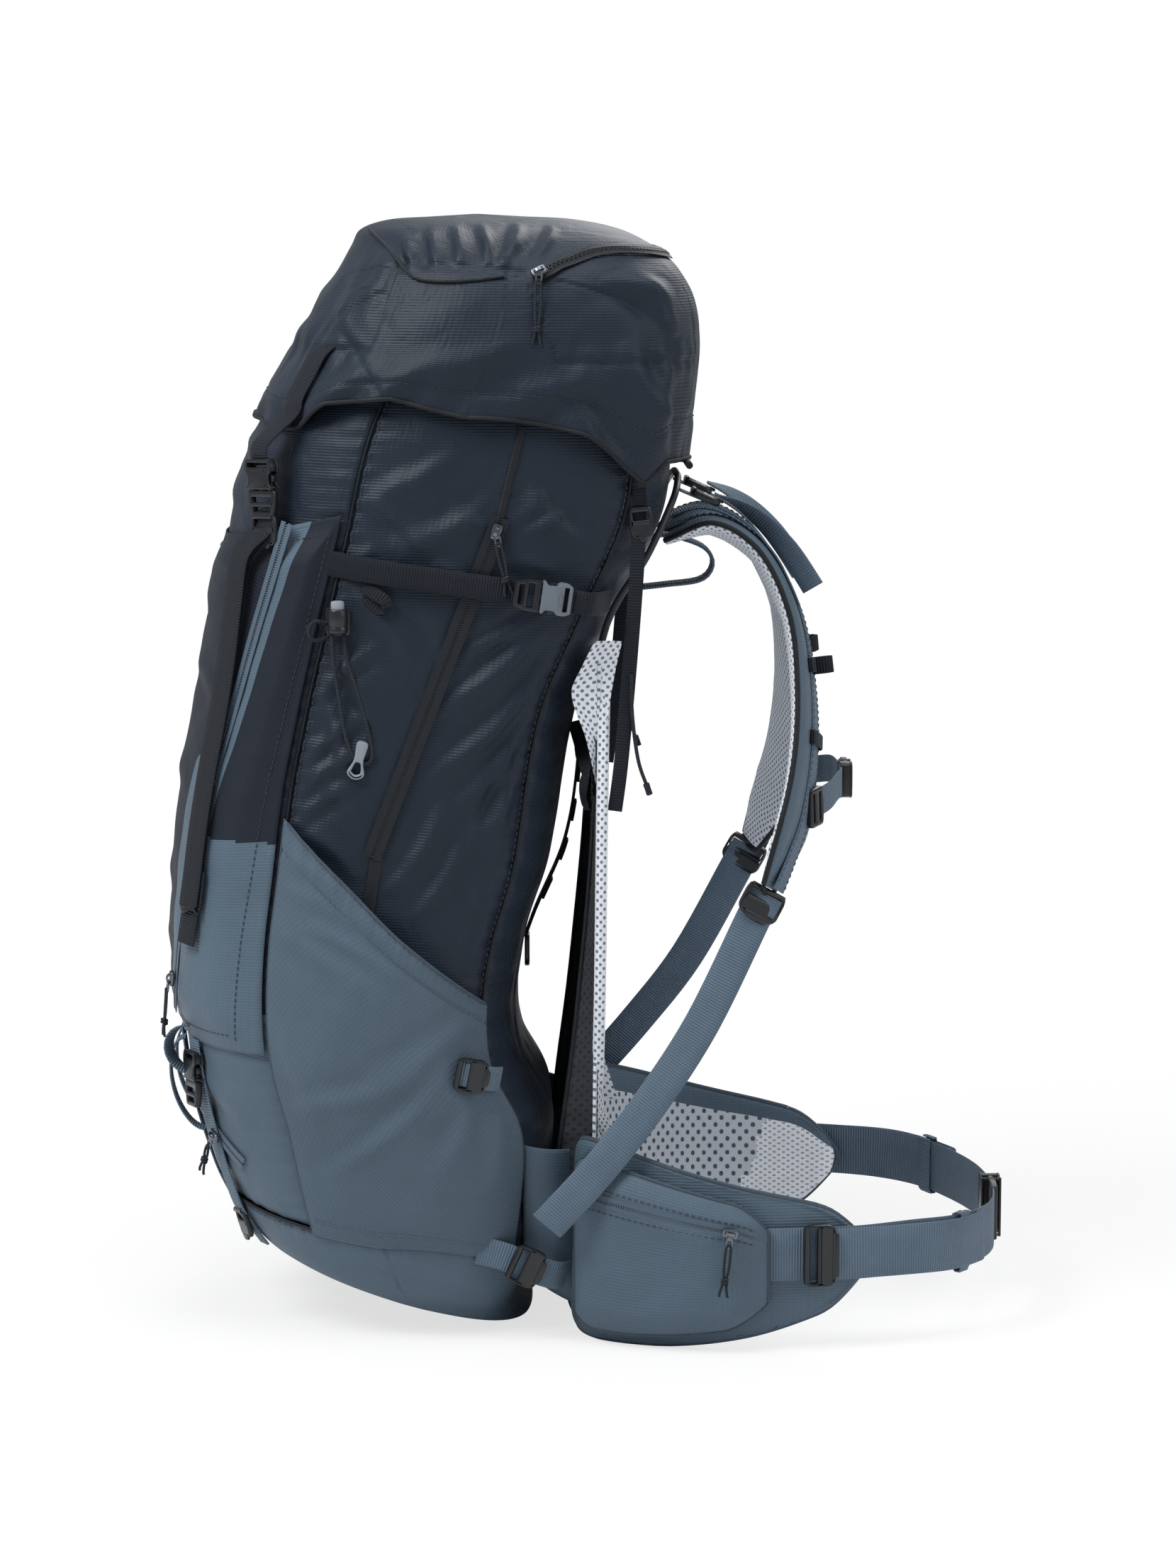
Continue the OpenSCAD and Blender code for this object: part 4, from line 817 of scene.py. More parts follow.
def pocket_wall(u, v, off=0.0):
    """Front pocket: sewn down at its edges, standing off by its depth inside them. Its grid has
    lines along the edges of the dark middle (u = 0.25, 0.75) and along the zippers (0.15, 0.85)."""
    limit = SEAM_FRONT_X - 0.012
    level = mix(POCKET_FOOT, POCKET_TOP, v)
    zipper_at, inner = (front_zip_x(level) + 7) / BAG_W * 2, pocket_centre(level) / BAG_W * 2
    side = 2 * np.abs(u - 0.5)
    s = np.where(side < 0.5, inner * side * 2,
                 np.where(side < 0.7, mix(inner, zipper_at, (side - 0.5) * 5),
                          mix(zipper_at, limit, (side - 0.7) / 0.3)))
    s = np.sign(u - 0.5) * s
    z = mix(POCKET_FOOT, POCKET_TOP + 26 * s**4, v)
    lift = np.minimum(1, np.minimum.reduce([14 * u, 14 * (1 - u), 12 * v, 12 * (1 - v)]))
    lift = lift * lift * (3 - 2 * lift)
    o = 0.4 + POCKET_D * lift + POCKET_T + off
    a, b = half_w(z) + o, half_d(z) + o
    return np.stack([a * s, mid_y(z) - b * root(s, FRONT_POWER), z], -1)


u, v = spread(180, 170)
p = pocket_wall(u, v)
x, z = p[..., 0], p[..., 2]
pulls = [(-60, 520, 50, 508, 8, 1.8), (10, 470, 92, 452, 8, 1.8), (-86, 430, -6, 446, 8, 1.6),
         (-50, 380, 64, 392, 9, 1.6),
         (-40, 320, 40, 312, 8, 1.5), (-36, 262, 34, 268, 7, 1.4), (20, 545, 104, 536, 7, 1.8),
         (-104, 540, -20, 548, 7, 1.8)]
drape = folds(x, z, pulls) + slack(x, z, 1.1, 41) - 1.2 * np.exp(-((np.abs(x) - front_zip_x(z)) / 5)**2)
pocket_points = pocket_wall(u, v, drape * np.clip(np.minimum(u, 1 - u) * 14, 0, 1))
face_side = np.abs(u[:-1, :-1] + u[:-1, 1:] - 1)
face_z = pocket_points[:-1, :-1, 2]
dark = (face_side < 0.5) | ((face_side > 0.7) & (face_z > 352))
piece("front_pocket_fabric", "bag", sheet_of(pocket_points), [slate_ripstop, charcoal_stretch], ["front_pocket"],
      wall=1.0, marks=np.broadcast_to(dark, face_z.shape).astype(np.int32).ravel())
w = np.linspace(0.02, 0.98, 90)
rows = [both(stitches(pocket_wall(0 * w + 0.975, w, 0.2), outward(lambda o: pocket_wall(0 * w + 0.975, w, o))))]
w = np.linspace(0.03, 0.97, 90)
rows += [stitches(pocket_wall(w, 0 * w + k, 0.2), (0, -1, 0)) for k in (0.03, 0.97)]
piece("pocket_stitching", "bag", joined(*rows), dark_thread)

# ---- Side pockets: stretch twill with a drawn hem ----

SIDE_POCKET_D = 15


def side_hem(y):
    """Height of the side pocket's hem, which falls towards the rear."""
    return curve([(-110, 384), (-60, 336), (-10, 286), (52, 240), (90, 222)], y)


def side_pouch(u, v, off=0.0):
    """Side pocket's cloth: sewn down at its sides and foot, open at its hem."""
    q = mix(-SEAM_FRONT - 0.004, SEAM_REAR + 0.004, u)
    y0 = mid_y(250.0) + half_d(250.0) * q
    low = base_seam(mid_y(66.0) + half_d(66.0) * q) - 4
    z = mix(low, side_hem(y0), v)
    o = off + 3.0 + SIDE_POCKET_D * np.sin(np.pi * np.clip(u, 0, 1)) * np.clip(v, 0, 1)**0.7
    a, b = half_w(z) + o, half_d(z) + o
    return np.stack([a * np.where(q < 0, root(q, FRONT_POWER), root(q, REAR_POWER)), mid_y(z) + b * q, z], -1)


u, v = spread(120, 130)
p = side_pouch(u, v)
y, z = p[..., 1], p[..., 2]
hem_gap = (1 - v) * 240
gathers = 0.5 * np.exp(-(hem_gap / 14)**2) * (np.sin(u * 2 * np.pi * 13) * (1 - u)
                                              + 0.8 * np.sin(u * 2 * np.pi * 31 + 1) * u)
pull = folds(y, z, [(44, 218, -60, 118, 7, 2.4), (30, 206, -90, 168, 8, 2.2), (52, 200, 62, 110, 7, 2.2),
                    (-70, 300, 0, 258, 6, 2.0), (-96, 352, -20, 300, 7, 2.2), (-92, 330, 20, 262, 7, 2.0),
                    (-100, 300, -30, 250, 8, 1.8),
                    (50, 236, -30, 190, 8, 2.2), (60, 220, 0, 150, 9, 1.8), (-104, 240, -60, 150, 8, 1.6),
                    (48, 190, 20, 120, 8, 1.8), (-84, 200, -20, 120, 10, 1.4)])
drape = (pull + slack(y, z, 1.4, 51, 80)) * np.clip(np.minimum(u, 1 - u) * 12, 0,
                                                    1) + gathers * np.clip(np.minimum(u, 1 - u) * 10, 0, 1) \
    - 0.8 * np.exp(-((hem_gap - 17) / 2.2)**2) - 1.0 * np.exp(-(v * 240 / 4)**2)
pouch = sheet_of(side_pouch(u, v, drape))
for name, shape in (("right", pouch), ("left", mirrored(pouch))):
    piece("side_pocket_fabric_" + name, "bag", shape, slate_twill, ["side_pocket_" + name], wall=1.2)
w = np.linspace(0.02, 0.98, 90)
hem = side_pouch(w, 0 * w + 1, np.interp(w, np.linspace(0, 1, 121), drape[-1]) + 0.1)
edge_u = np.linspace(0.02, 1.0, 80)
seam_f = side_pouch(0 * edge_u + 0.004, edge_u, -0.6)
seam_r = side_pouch(0 * edge_u + 0.996, edge_u, -0.6)
piece("side_pocket_binding", "bag", both(joined(swept(even(hem, 4), (0, -0.5, 1), round_section(1.2)),
      swept(even(seam_f, 5), (0, 1, 0), round_section(0.9)), swept(even(seam_r, 5), (0, 1, 0), round_section(0.9)))),
      slate_binding)
row_at = lambda level: side_pouch(w, 0 * w + level,
                                  np.interp(w, np.linspace(0, 1, 121), drape[int(level * 130)]) + 0.2)
out_at = lambda level: outward(lambda o: side_pouch(w, 0 * w + level, o))
piece("side_pocket_stitching", "bag", both(joined(stitches(row_at(0.93), out_at(0.93)),
                                                  stitches(row_at(0.045), out_at(0.045), 5.2, 3.6, 0.5))),
      slate_thread)

# ---- Moulded hardware; own x is the way a plug leaves, own z faces out ----

WALL, PRONG_IN, GAP, SOCKET_TAIL, PLUG_L, BUCKLE_H = 1.6, 11, 1, 9, 19, 9
SOCKET_L = PRONG_IN + GAP + SOCKET_TAIL


def socket(w, h=BUCKLE_H):
    """Buckle socket: two shells with a window each side for the prongs, a closed tail with the
    webbing's slot, and two posts at its mouth."""
    half, length = w / 2 + 2 * WALL, SOCKET_L
    edge = rounded([(-length, -half + 2), (-length + 4, -half), (-11.5, -half), (-9.5, -half + 2.6),
                    (-3.4, -half + 2.6),
                    (-1.8, -half), (0, -half), (0, half), (-1.8, half), (-3.4, half - 2.6), (-9.5, half - 2.6),
                    (-11.5, half), (-length + 4, half), (-length, half - 2)], 1.4)
    slot = box_outline(-length + 2.6, -length + 5.8, w / 2 + 0.4, 0.8)
    shells = [plate([edge, slot], WALL + 0.5, 0.75, k * (h / 2 - WALL / 2 - 0.25)) for k in (-1, 1)]
    tail = plate([rounded([(-length + 0.3, -half + 2.2), (-length + 4, -half + 0.3), (-11.9, -half + 0.3),
                           (-11.9, half - 0.3),
                           (-length + 4, half - 0.3), (-length + 0.3, half - 2.2)], 1.4), slot], h - 2.4, 0.4)
    posts = [plate([rounded([(-2.6, s * (half - 2)), (-0.4, s * (half - 2)), (-0.4, s * (half - 0.3)),
                             (-1.8, s * (half - 0.3))][::s], 0.3)],
                   h - 2.4, 0.3) for s in (-1, 1)]
    rib = plate([box_outline(-length + 7.4, -12.6, w / 2 - 3, 1.5)], 0.9, 0.4, h / 2 + 0.2)
    return joined(*shells, tail, *posts, rib)


def plug(w, prong_h=BUCKLE_H - 2 * WALL - 2 * GAP):
    """Buckle plug: a body with two webbing slots, two springy prongs with hooked heads, and a
    guide between them."""
    half = w / 2 + 2 * WALL
    body = plate([rounded([(0.4, -half), (10, -half), (PLUG_L, -half + 2.6), (PLUG_L, half - 2.6), (10, half),
                           (0.4, half)], 1.8),
                  box_outline(5.5, 9.5, w / 2 + 0.2, 0.8), box_outline(12, 15.6, w / 2 - 1.2, 0.8)], 5, 1.1)
    bar = swept(np.array([(10.7, y, 1.2) for y in np.linspace(-w / 2 - 0.6, w / 2 + 0.6, 9)]), (1, 0, 0),
                round_section(1.7, 10))
    prong = rounded([(1.5, half - 6.0), (-6, half - 5.6), (-10.4, half - 4.4), (-10.8, half - 2.6),
                     (-8.6, half - 0.3), (-5.2, half - 0.5),
                     (-4.4, half - 2.4), (0, half - 2.8), (1.5, half - 2.6)], 0.8)
    guide = plate([box_outline(-7.7, 1.2, 2, 1.2)], prong_h, 0.4)
    return joined(body, bar, plate([prong], prong_h, 0.5), plate([prong * (1, -1)], prong_h, 0.5), guide)


def ladder_lock(w, h=5):
    """Ladder lock: two side rails and three rounded bars, with a lip to lift at one end."""
    half = w / 2 + 3
    frame_edge = rounded([(-11, -half + 1.5), (-6, -half), (7, -half), (11, -half + 3), (11, half - 3), (7, half),
                          (-6, half), (-11, half - 1.5)], 2.2)
    body = plate([frame_edge, box_outline(-7.5, -2, w / 2 + 0.4, 1), box_outline(2, 7.5, w / 2 + 0.4, 1)], h, 1.2)
    bars = [swept(np.array([(x, y, z) for y in np.linspace(-half + 2.2, half - 2.2, 9)]), (1, 0, 0),
                  round_section(r, 10))
            for x, z, r in ((-9.2, 1.0, 2.2), (0, 0.4, 2.1))]
    lip = plate([rounded([(8.5, -half + 4.5), (13, -half + 7), (13, half - 7), (8.5, half - 4.5)], 2)], 2, 0.7,
                h / 2 - 0.4)
    return joined(body, *bars, lip)


def moulded(name, body, shape, nodes=()):
    """A finished piece of black acetal."""
    return piece(name, body, shape, black_acetal, nodes, smooth=40)


def slider_body():
    """Zipper slider on its zipper: a waisted body, a bridge over it and a flat ring in the bridge."""
    body = plate([rounded([(-5.5, -2.6), (-1, -3.2), (3, -3.6), (5.5, -3.0), (5.5, 3.0), (3, 3.6), (-1, 3.2),
                           (-5.5, 2.6)], 1.4)], 3.0, 0.9, 1.6)
    arch = np.linspace(0, np.pi, 9)
    bridge = swept(np.column_stack([3.4 * np.cos(arch), 0 * arch, 3 + 2.3 * np.sin(arch)]), (0, 1, 0),
                   [(-1.1, -0.5), (1.1, -0.5), (1.1, 0.5), (-1.1, 0.5)])
    return joined(body, bridge)


def pull(start, hang, out, length=40):
    """Zipper pull from the slider's bridge: a metal ring, then a doubled cord with a knot and two
    free ends, as (metal, cord). The hang direction is where it points."""
    ring = plate([rounded([(0.5, -1.2), (4, -2.7), (9.5, -2.2), (10.5, 0), (9.5, 2.2), (4, 2.7), (0.5, 1.2)], 1.2),
                  rounded([(4.6, -1.3), (8.6, -1.0), (8.6, 1.0), (4.6, 1.3)], 0.7)], 1.3, 0.35)
    k = length
    loop = [(k - 13, 0.9, 0.3), (k * 0.55, 1.9, 0.4), (12, 1.7, 0.6), (8.0, 1.1, 1.0), (7.4, 0, 1.2),
            (8.0, -1.1, 1.0), (12, -1.9, 0.6),
            (k * 0.55, -1.6, 0.4), (k - 13, -0.8, 0.3)]
    a = np.linspace(0, 4 * np.pi, 34)
    knot = np.column_stack([k - 12.6 + 1.7 * a / np.pi * 0.55, 1.7 * np.cos(a), 1.7 * np.sin(a) + 0.4])
    ends = [[(k - 11, 0.8 * s, 0.4), (k - 7, 1.6 * s, 0.5), (k - 2, 2.6 * s, 0.2), (k, 2.9 * s + 0.5, -0.2)]
            for s in (-1, 1)]
    cords = joined(cord_tube(loop, 0.95, 5, 1.6), swept(knot, (1, 0.2, 0.1), round_section(1.15, 7)),
                   *[cord_tube(e, 0.95, 5, 1.5) for e in ends])
    return placed(ring, start, hang, out), placed(cords, start, hang, out)


def dressed_slider(node, origin, along, out, hang, mirror=False, length=40):
    """A slider with its pull, standing for the frame's plain one on the body of the same name."""
    metal, rope = pull(np.asarray(origin) + unit(out) * 4.0, hang, out, length)
    metal = joined(placed(slider_body(), origin, along, out), metal)
    turn = mirrored if mirror else (lambda shape: shape)
    piece(node + "_body", node, turn(metal), gunmetal, [node], smooth=40)
    piece(node + "_cord", node, turn(rope), charcoal_cord, smooth=80)


def zipper(path, side, width=10):
    """Zipper along a path, as (tape, coil): two ribbed tapes with a rolled inner edge, and between
    them the coil's turns, each a short bar across, leaning to alternate sides."""
    path = np.asarray(path, float)
    side = np.broadcast_to(np.asarray(side, float), path.shape)
    tape = joined(*[swept(path, side, [(a * k, b) for a,
                                       b in ((width / 2, -0.35), (width / 2, 0.15), (width * 0.2, 0.45), (1.7, 0.95),
                                             (1.2, 0.4), (1.2, -0.35))][::k])
                    for k in (1, -1)])
    s = lengths(path)
    at = np.arange(1.0, s[-1] - 1, 1.75)
    pick = lambda a: np.stack([np.interp(at, s, a[:, k]) for k in range(3)], -1)
    mid, x = pick(path), unit(pick(np.gradient(path, axis=0)))
    y = pick(side)
    y = unit(y - (y * x).sum(1, keepdims=True) * x)
    z = np.cross(x, y)
    lean = np.where(np.arange(len(at)) % 2, 0.5, -0.5)
    bar = np.array([(-0.55, -1.7, 0.1), (0.55, -1.7, 0.1), (0.55, 1.7, 0.1), (-0.55, 1.7, 0.1), (-0.3, -1.3, 1.0),
                    (0.3, -1.3, 1.0), (0.3, 1.3, 1.0), (-0.3, 1.3, 1.0)])
    p = (mid[:, None] + bar[None, :, :1] * x[:, None] + (bar[None, :, 1:2] + lean[:, None, None]) * y[:, None]
         + bar[None, :, 2:] * z[:, None])
    quad = np.array([(0, 3, 2, 1), (4, 5, 6, 7), (0, 1, 5, 4), (1, 2, 6, 5), (2, 3, 7, 6), (3, 0, 4, 7)])
    p = p.reshape(-1, 3)
    return tape, (p, [(quad[None] + 8 * np.arange(len(at))[:, None, None]).reshape(-1, 4)], p[:, :2] * MM)


# ---- Zippers of the bag ----

ZIP_LIFT = 1.1
z = np.linspace(222, 574, 90)
front_off = POCKET_D + POCKET_T + 0.4
front_zip = on_front(front_zip_x(z), z, front_off + 0.5)
front_side = unit(on_front(front_zip_x(z) + 2, z, front_off) - on_front(front_zip_x(z) - 2, z, front_off))
fz_tape, fz_coil = zipper(front_zip, front_side)


def side_zip(t, off):
    """Side zipper's line from its top (t = 0) to its foot."""
    return on_side(mix(66, -24, t), mix(579, 345, t), off)


t = np.linspace(0, 1, 70)
sz_tape, sz_coil = zipper(side_zip(t, 2.3), (0, -1, 0), 13)


def bottom_zip(x, off):
    """Bottom zipper's line: an arch over the lower front."""
    return on_front(x, 112 + 58 * (1 - (x / (0.4 * BAG_W))**2), off)


x = np.linspace(-112, 112, 90)
bz_tape, bz_coil = zipper(bottom_zip(x, ZIP_LIFT + 1.2), (0, 0.2, -1))
piece("slate_zip_tapes", "bag", joined(both(fz_tape), bz_tape), slate_tape, ["bag_zippers"],
      smooth=50)
piece("side_zip_tapes", "bag", both(sz_tape), charcoal_tape, smooth=50)
piece("bag_zip_coils", "bag", both(sz_coil), zip_coil, smooth=30)
piece("slate_zip_coils", "bag", joined(both(fz_coil), bz_coil), slate_coil, smooth=30)

front_at = lambda z, o: on_front(front_zip_x(np.float64(z)), np.float64(z), front_off + o)
fs = unit(on_front(front_zip_x(246) + 2, 246, front_off) - on_front(front_zip_x(246) - 2, 246, front_off))
for name, flip in (("right", False), ("left", True)):
    dressed_slider("front_slider_" + name, front_at(246, 1.6), front_at(256, 0) - front_at(246, 0),
                   np.cross(fs, (0, 0, 1)), (-0.05, -0.1, -1), flip, 42)
    dressed_slider("side_slider_" + name, side_zip(0.04, 3.5), side_zip(0, 0) - side_zip(1, 0), (1, 0, 0),
                   (0.03, 0.20, -1), flip, 44)
bottom_way = bottom_zip(np.float64(91.2), 0) - bottom_zip(np.float64(61.2), 0)
dressed_slider("bottom_slider", bottom_zip(np.float64(91.2), 3.8), bottom_way,
               (0.62, -1, -0.2), (-0.3, -0.3, -1), False, 30)

# ---- Lid ----

LID_ROWS = np.array([(0, 1, 0.961, 0.987), (0.165, 0.92, 0.99, 1), (0.37, 0.76, 1, 0.994), (0.575, 0.6, 0.99, 0.96),
                     (0.745, 0.46, 0.937, 0.89), (0.86, 0.37, 0.85, 0.76), (0.94, 0.31, 0.73, 0.59),
                     (0.985, 0.145, 0.575, 0.375), (1, -0.09, 0.415, 0.17)])
LID_RINGS = 8     # gaps between the rows above
HEM_ROWS = [(-90, 8), (-60, 2), (-48, 2), (-36, 20), (-17, 24), (15, 0), (38, -36), (51, -21), (90, -21)]
LID_Z0, LID_H, LID_T = BAG_H - 32, 146, 2.6
LID_FRONT, LID_REAR, LID_HALF = FRONT_D * 0.663, REAR_D + 19, BAG_W / 2 + 3


def lid_row(v, k):
    """Share of the lid's size at height v: 0 rise, 1 front, 2 back, 3 half width."""
    return curve(np.column_stack([np.arange(LID_RINGS + 1) / LID_RINGS, LID_ROWS[:, k]]), v)


def lid_at(turn, v, off=0.0):
    """Lid's surface in the direction of turn degrees round its middle, with its hem's rise."""
    c, s = np.cos(np.radians(turn)), np.sin(np.radians(turn))
    n = np.where(s < 0, FRONT_POWER, REAR_POWER)
    a = LID_HALF * lid_row(v, 3) + off
    front, rear = LID_FRONT * lid_row(v, 1), LID_REAR * lid_row(v, 2)
    mid, b = (rear - front) / 2, (rear + front) / 2 + off
    r = ((np.abs(c) / a)**n + (np.abs(s) / b)**n)**(-1 / n)
    q = np.clip(r * s / b, -1, 1)
    angle = np.degrees(np.arcsin(np.clip(np.sign(q) * np.abs(q)**(n / 2), -1, 1)))
    hem = np.interp(angle, *np.array(HEM_ROWS, float).T) * np.maximum(0, 1 - v * LID_RINGS / 2.2)
    return np.stack([r * c, mid + r * s, LID_Z0 + LID_H * lid_row(v, 0) + hem + off * v * v], -1)


def lid_on_front(x, v, off=0.0):
    """The frame's own line of the lid's front at a given x."""
    i = np.minimum(LID_RINGS - 1, np.floor(v * LID_RINGS)).astype(int)
    row = mix(LID_ROWS[i], LID_ROWS[i + 1], v * LID_RINGS - i)
    front, rear = LID_FRONT * row[1], LID_REAR * row[2]
    n = (abs(x) / (LID_HALF * row[3] + off))**FRONT_POWER
    return np.array([x, (rear - front) / 2 - ((rear + front) / 2 + off) * (1 - n)**(1 / FRONT_POWER),
                     LID_Z0 + LID_H * row[0]])


LID_ZIP = [(0, 0.47), (2, 0.5), (6, 0.545), (18, 0.6), (40, 0.61), (90, 0.58)]  # share of the lid's height by angle
LID_FOLDS = [  # from the front corner, the hem's pull and the zipper's puckers
    (-26, 768, -66, 668, 8, 3.0), (-10, 764, -44, 690, 7, 2.6), (-84, 664, -50, 700, 7, 2.4),
    (-70, 648, -6, 684, 8, 2.6), (-40, 646, 40, 690, 9, 2.6), (10, 660, 90, 700, 10, 2.4),
    (150, 612, 110, 660, 8, 2.4), (176, 612, 186, 690, 9, 2.4), (182, 640, 150, 700, 8, 2.2),
    (60, 650, 140, 672, 9, 2.2), (-2, 772, 6, 746, 4, 2.4), (16, 776, 22, 748, 4, 2.0),
    (34, 779, 38, 750, 4, 2.4), (52, 779, 58, 750, 4, 3.4), (80, 779, 66, 748, 5, 3.8),
    (104, 776, 84, 750, 4, 3.2), (-60, 690, -20, 740, 7, 2.4), (150, 754, 186, 700, 8, 2.6),
    (130, 742, 186, 724, 7, 2.4)]
u, v = spread(380, 120, wrap=True)
turn = 360 * u
p = lid_at(turn, v)
x, y, z = p[..., 0], p[..., 1], p[..., 2]
sideways = np.clip((np.abs(x) - 60) / 50, 0, 1)
from_front = np.clip((-60 - y) / 30, 0, 1)
drape = 1.7 * folds(y, z, LID_FOLDS) * sideways + slack(np.where(np.abs(x) > 90, y, x), z, 1.5, 61, 70)
front_part = np.clip(1 - sideways + from_front, 0, 1) * (y < 60)
drape += folds(x, z, [(-120, 668, 10, 684, 9, 2.4), (-20, 700, 116, 690, 9, 2.4), (-90, 724, 60, 716, 8, 2.2),
                      (20, 648, 120, 656, 7, 2.2), (-120, 648, -20, 652, 7, 2.2)]) * front_part
# The cloth lies calm along the zipper
deep_at, far_at = LID_FRONT * lid_row(v, 1), LID_REAR * lid_row(v, 2)
share = np.clip((y - (far_at - deep_at) / 2) / ((far_at + deep_at) / 2), 0, 1)
zip_gap = (v - curve(LID_ZIP, np.degrees(np.arcsin(share**(REAR_POWER / 2))))) * 118
drape *= np.where(share > 0, np.clip((np.abs(zip_gap) - 6) / 12, 0.1, 1), 1)
# Seams: the top panel's edge, one down the front corner, one up from the hem and one behind the slider
seam_top = (z - mix(752, 744, np.clip(y / 90, 0, 1)) + 60 * np.clip((y - 84) / 20, 0, 1)
            + 60 * np.clip((-4 - y) / 20, 0, 1))
seam_corner = (y + 18 - (776 - z) * 0.66) * 0.83 + 60 * np.clip((750 - z) / 12, 0, 1)
seam_side = (y - curve([(640, -74), (679, -64), (711, -47), (724, -26), (734, -4)],
                       z)) * 0.8 + 60 * np.clip((z - 730) / 10, 0, 1)
seam_rear = (y - curve([(600, 184), (670, 186), (696, 181), (715, 170), (730, 142), (741, 98)],
                       z)) * 0.7 + 60 * np.clip((z - 740) / 8, 0, 1)
groove = lambda d, deep=1.5, w=2.6: -deep * np.exp(-(d / w)**2) + 0.25 * deep * np.exp(-((d - 6) / 4)**2)
drape += (groove(seam_top) + groove(seam_corner) + groove(seam_side, 1.2) + groove(seam_rear)) * sideways
drape += 0.7 * np.exp(-(seam_top / 14)**2) * np.clip((np.abs(zip_gap) - 6) / 12, 0,
                                                     1) * (np.sin(turn * 0.62) + 0.7 * np.sin(turn * 1.05 + 2))
hem_gap = v * 118
drape += np.exp(-(hem_gap / 12)**2) * 0.9 * (np.sin(turn * 0.3)
                                             + 0.6 * np.sin(turn * 0.47 + 1)) - 0.9 * np.exp(-((hem_gap - 13) / 2)**2)
lid_points = lid_at(turn, v, drape - 0.6)
crown = lid_points[-1]
centre = crown.mean(0) + (0, 0, 1.0)
k = (1 - np.linspace(0.12, 0.94, 8))[:, None, None]
lid_points = np.concatenate([lid_points, mix(centre, crown[None], k) + (0, 0, 1.2) * (1 - k)])
piece("lid_fabric", "lid", sheet_of(lid_points, True, caps=(-1,)), charcoal_ripstop, ["lid_shell"],
      wall=1.6, smooth=80)
hem_path = np.vstack([lid_points[0], lid_points[:1, 0]])
piece("lid_hem", "lid", swept(even(hem_path, 5), (0, 0, 1), round_section(1.7), caps=False), black_binding)
row = np.vstack([lid_points[13], lid_points[13, :1]])
from_middle = (row - (0, 60, 660)) * (1, 1, 0)
piece("lid_stitching", "lid", stitches(row + unit(from_middle) * 0.2, from_middle), dark_thread)

# Lid pocket's floor
u, v = spread(96, 24, wrap=True)
wall = lid_at(360 * u, 0 * v + 0.2, -4.4)
r = 1 - 0.96 * v
dome = np.stack([wall[..., 0] * r, mix(MOUTH_Y, wall[..., 1], r),
                 mix(LID_Z0 + LID_H * lid_row(0.2, 0) + 4, wall[..., 2], r**3) + 46 * (1 - r * r) + 0.8], -1)
dome[..., 2] += slack(dome[..., 0], dome[..., 1], 1.0, 71)
piece("lid_floor_fabric", "lid", sheet_of(dome, True, caps=(-1,)), slate_ripstop, ["lid_floor"],
      wall=1.0)


# Lid zipper and its slider, on the frame's own line


def lid_zip(angle, up=0.0, off=0.0):
    """The frame's own line of the zipper round the lid at an angle, 0 to the right and 90 at the
    back, raised by a share of the lid's height."""
    angle = np.asarray(angle, float)
    v = curve(LID_ZIP, np.where(angle > 90, 180 - angle, angle)) + up
    i = np.floor(v * LID_RINGS).astype(int)
    rows = mix(LID_ROWS[i], LID_ROWS[i + 1], (v * LID_RINGS - i)[..., None])
    rise, front, rear, wide = np.moveaxis(rows, -1, 0)
    front, rear, e = LID_FRONT * front, LID_REAR * rear, 2 / REAR_POWER
    c, s = np.cos(np.radians(angle)), np.sin(np.radians(angle))
    return np.stack([(LID_HALF * wide + off) * np.sign(c) * np.abs(c)**e,
                     (rear - front) / 2 + ((rear + front) / 2 + off) * np.abs(s)**e,
                     LID_Z0 + LID_H * rise + off * v * v], -1)


a = 90 - 89 * np.cos(np.linspace(0, np.pi, 400))
line = even(lid_zip(a, 0, 2.4), 3)
angles = np.interp(lengths(line), lengths(lid_zip(a, 0, 2.4)), a)
lid_side = lid_zip(angles, 0.03) - lid_zip(angles, -0.03)
lz_tape, lz_coil = zipper(line, lid_side, 11)
piece("lid_zip_tape", "lid", lz_tape, charcoal_tape, ["lid_zipper"], smooth=50)
piece("lid_zip_coil", "lid", lz_coil, zip_coil, smooth=30)
way = lid_zip(2.6) - lid_zip(1.6)
dressed_slider("lid_slider", lid_zip(1.6, 0, 4.4), way, np.cross(way, lid_zip(1.6, 0.03) - lid_zip(1.6, -0.03)),
               (0.16, -0.04, -1), False, 52)

# Piping that the lid turns on, and its tape to the bag
HINGE_Y, HINGE_Z = LID_REAR * 0.961 - LID_T / 2, BAG_H - 56
w = LID_HALF * 1.4
bar = np.column_stack([np.linspace(-w / 2, w / 2, 60), np.full(60, HINGE_Y), np.full(60, HINGE_Z)])
tape_from = float(rear_y(HINGE_Z)) + 0.4
tape = np.column_stack([np.linspace(-w * 0.27, w * 0.27, 30), np.full(30, (tape_from + HINGE_Y) / 2),
                        np.full(30, HINGE_Z)])
piece("lid_hinge_cord", "bag", joined(swept(bar, (0, 0, 1), round_section(2.5, 14)),
                                      swept(tape, (0, 1, 0), flat_section(HINGE_Y - tape_from, 1.6))),
      black_binding, ["lid_hinge_piping"])

# Seam of the lid's top panel, from its front corner to the zipper
top_seam = np.array([lid_at(np.float64(t), np.float64(v), 0.5) for t,
                     v in [(-60, 0.74), (-44, 0.64), (-33, 0.535), (-26, 0.475), (-17, 0.465), (-9, 0.47),
                           (-1, 0.485)]])
piece("lid_top_seam", "lid", both(cord_tube(top_seam, 1.1)), black_binding)
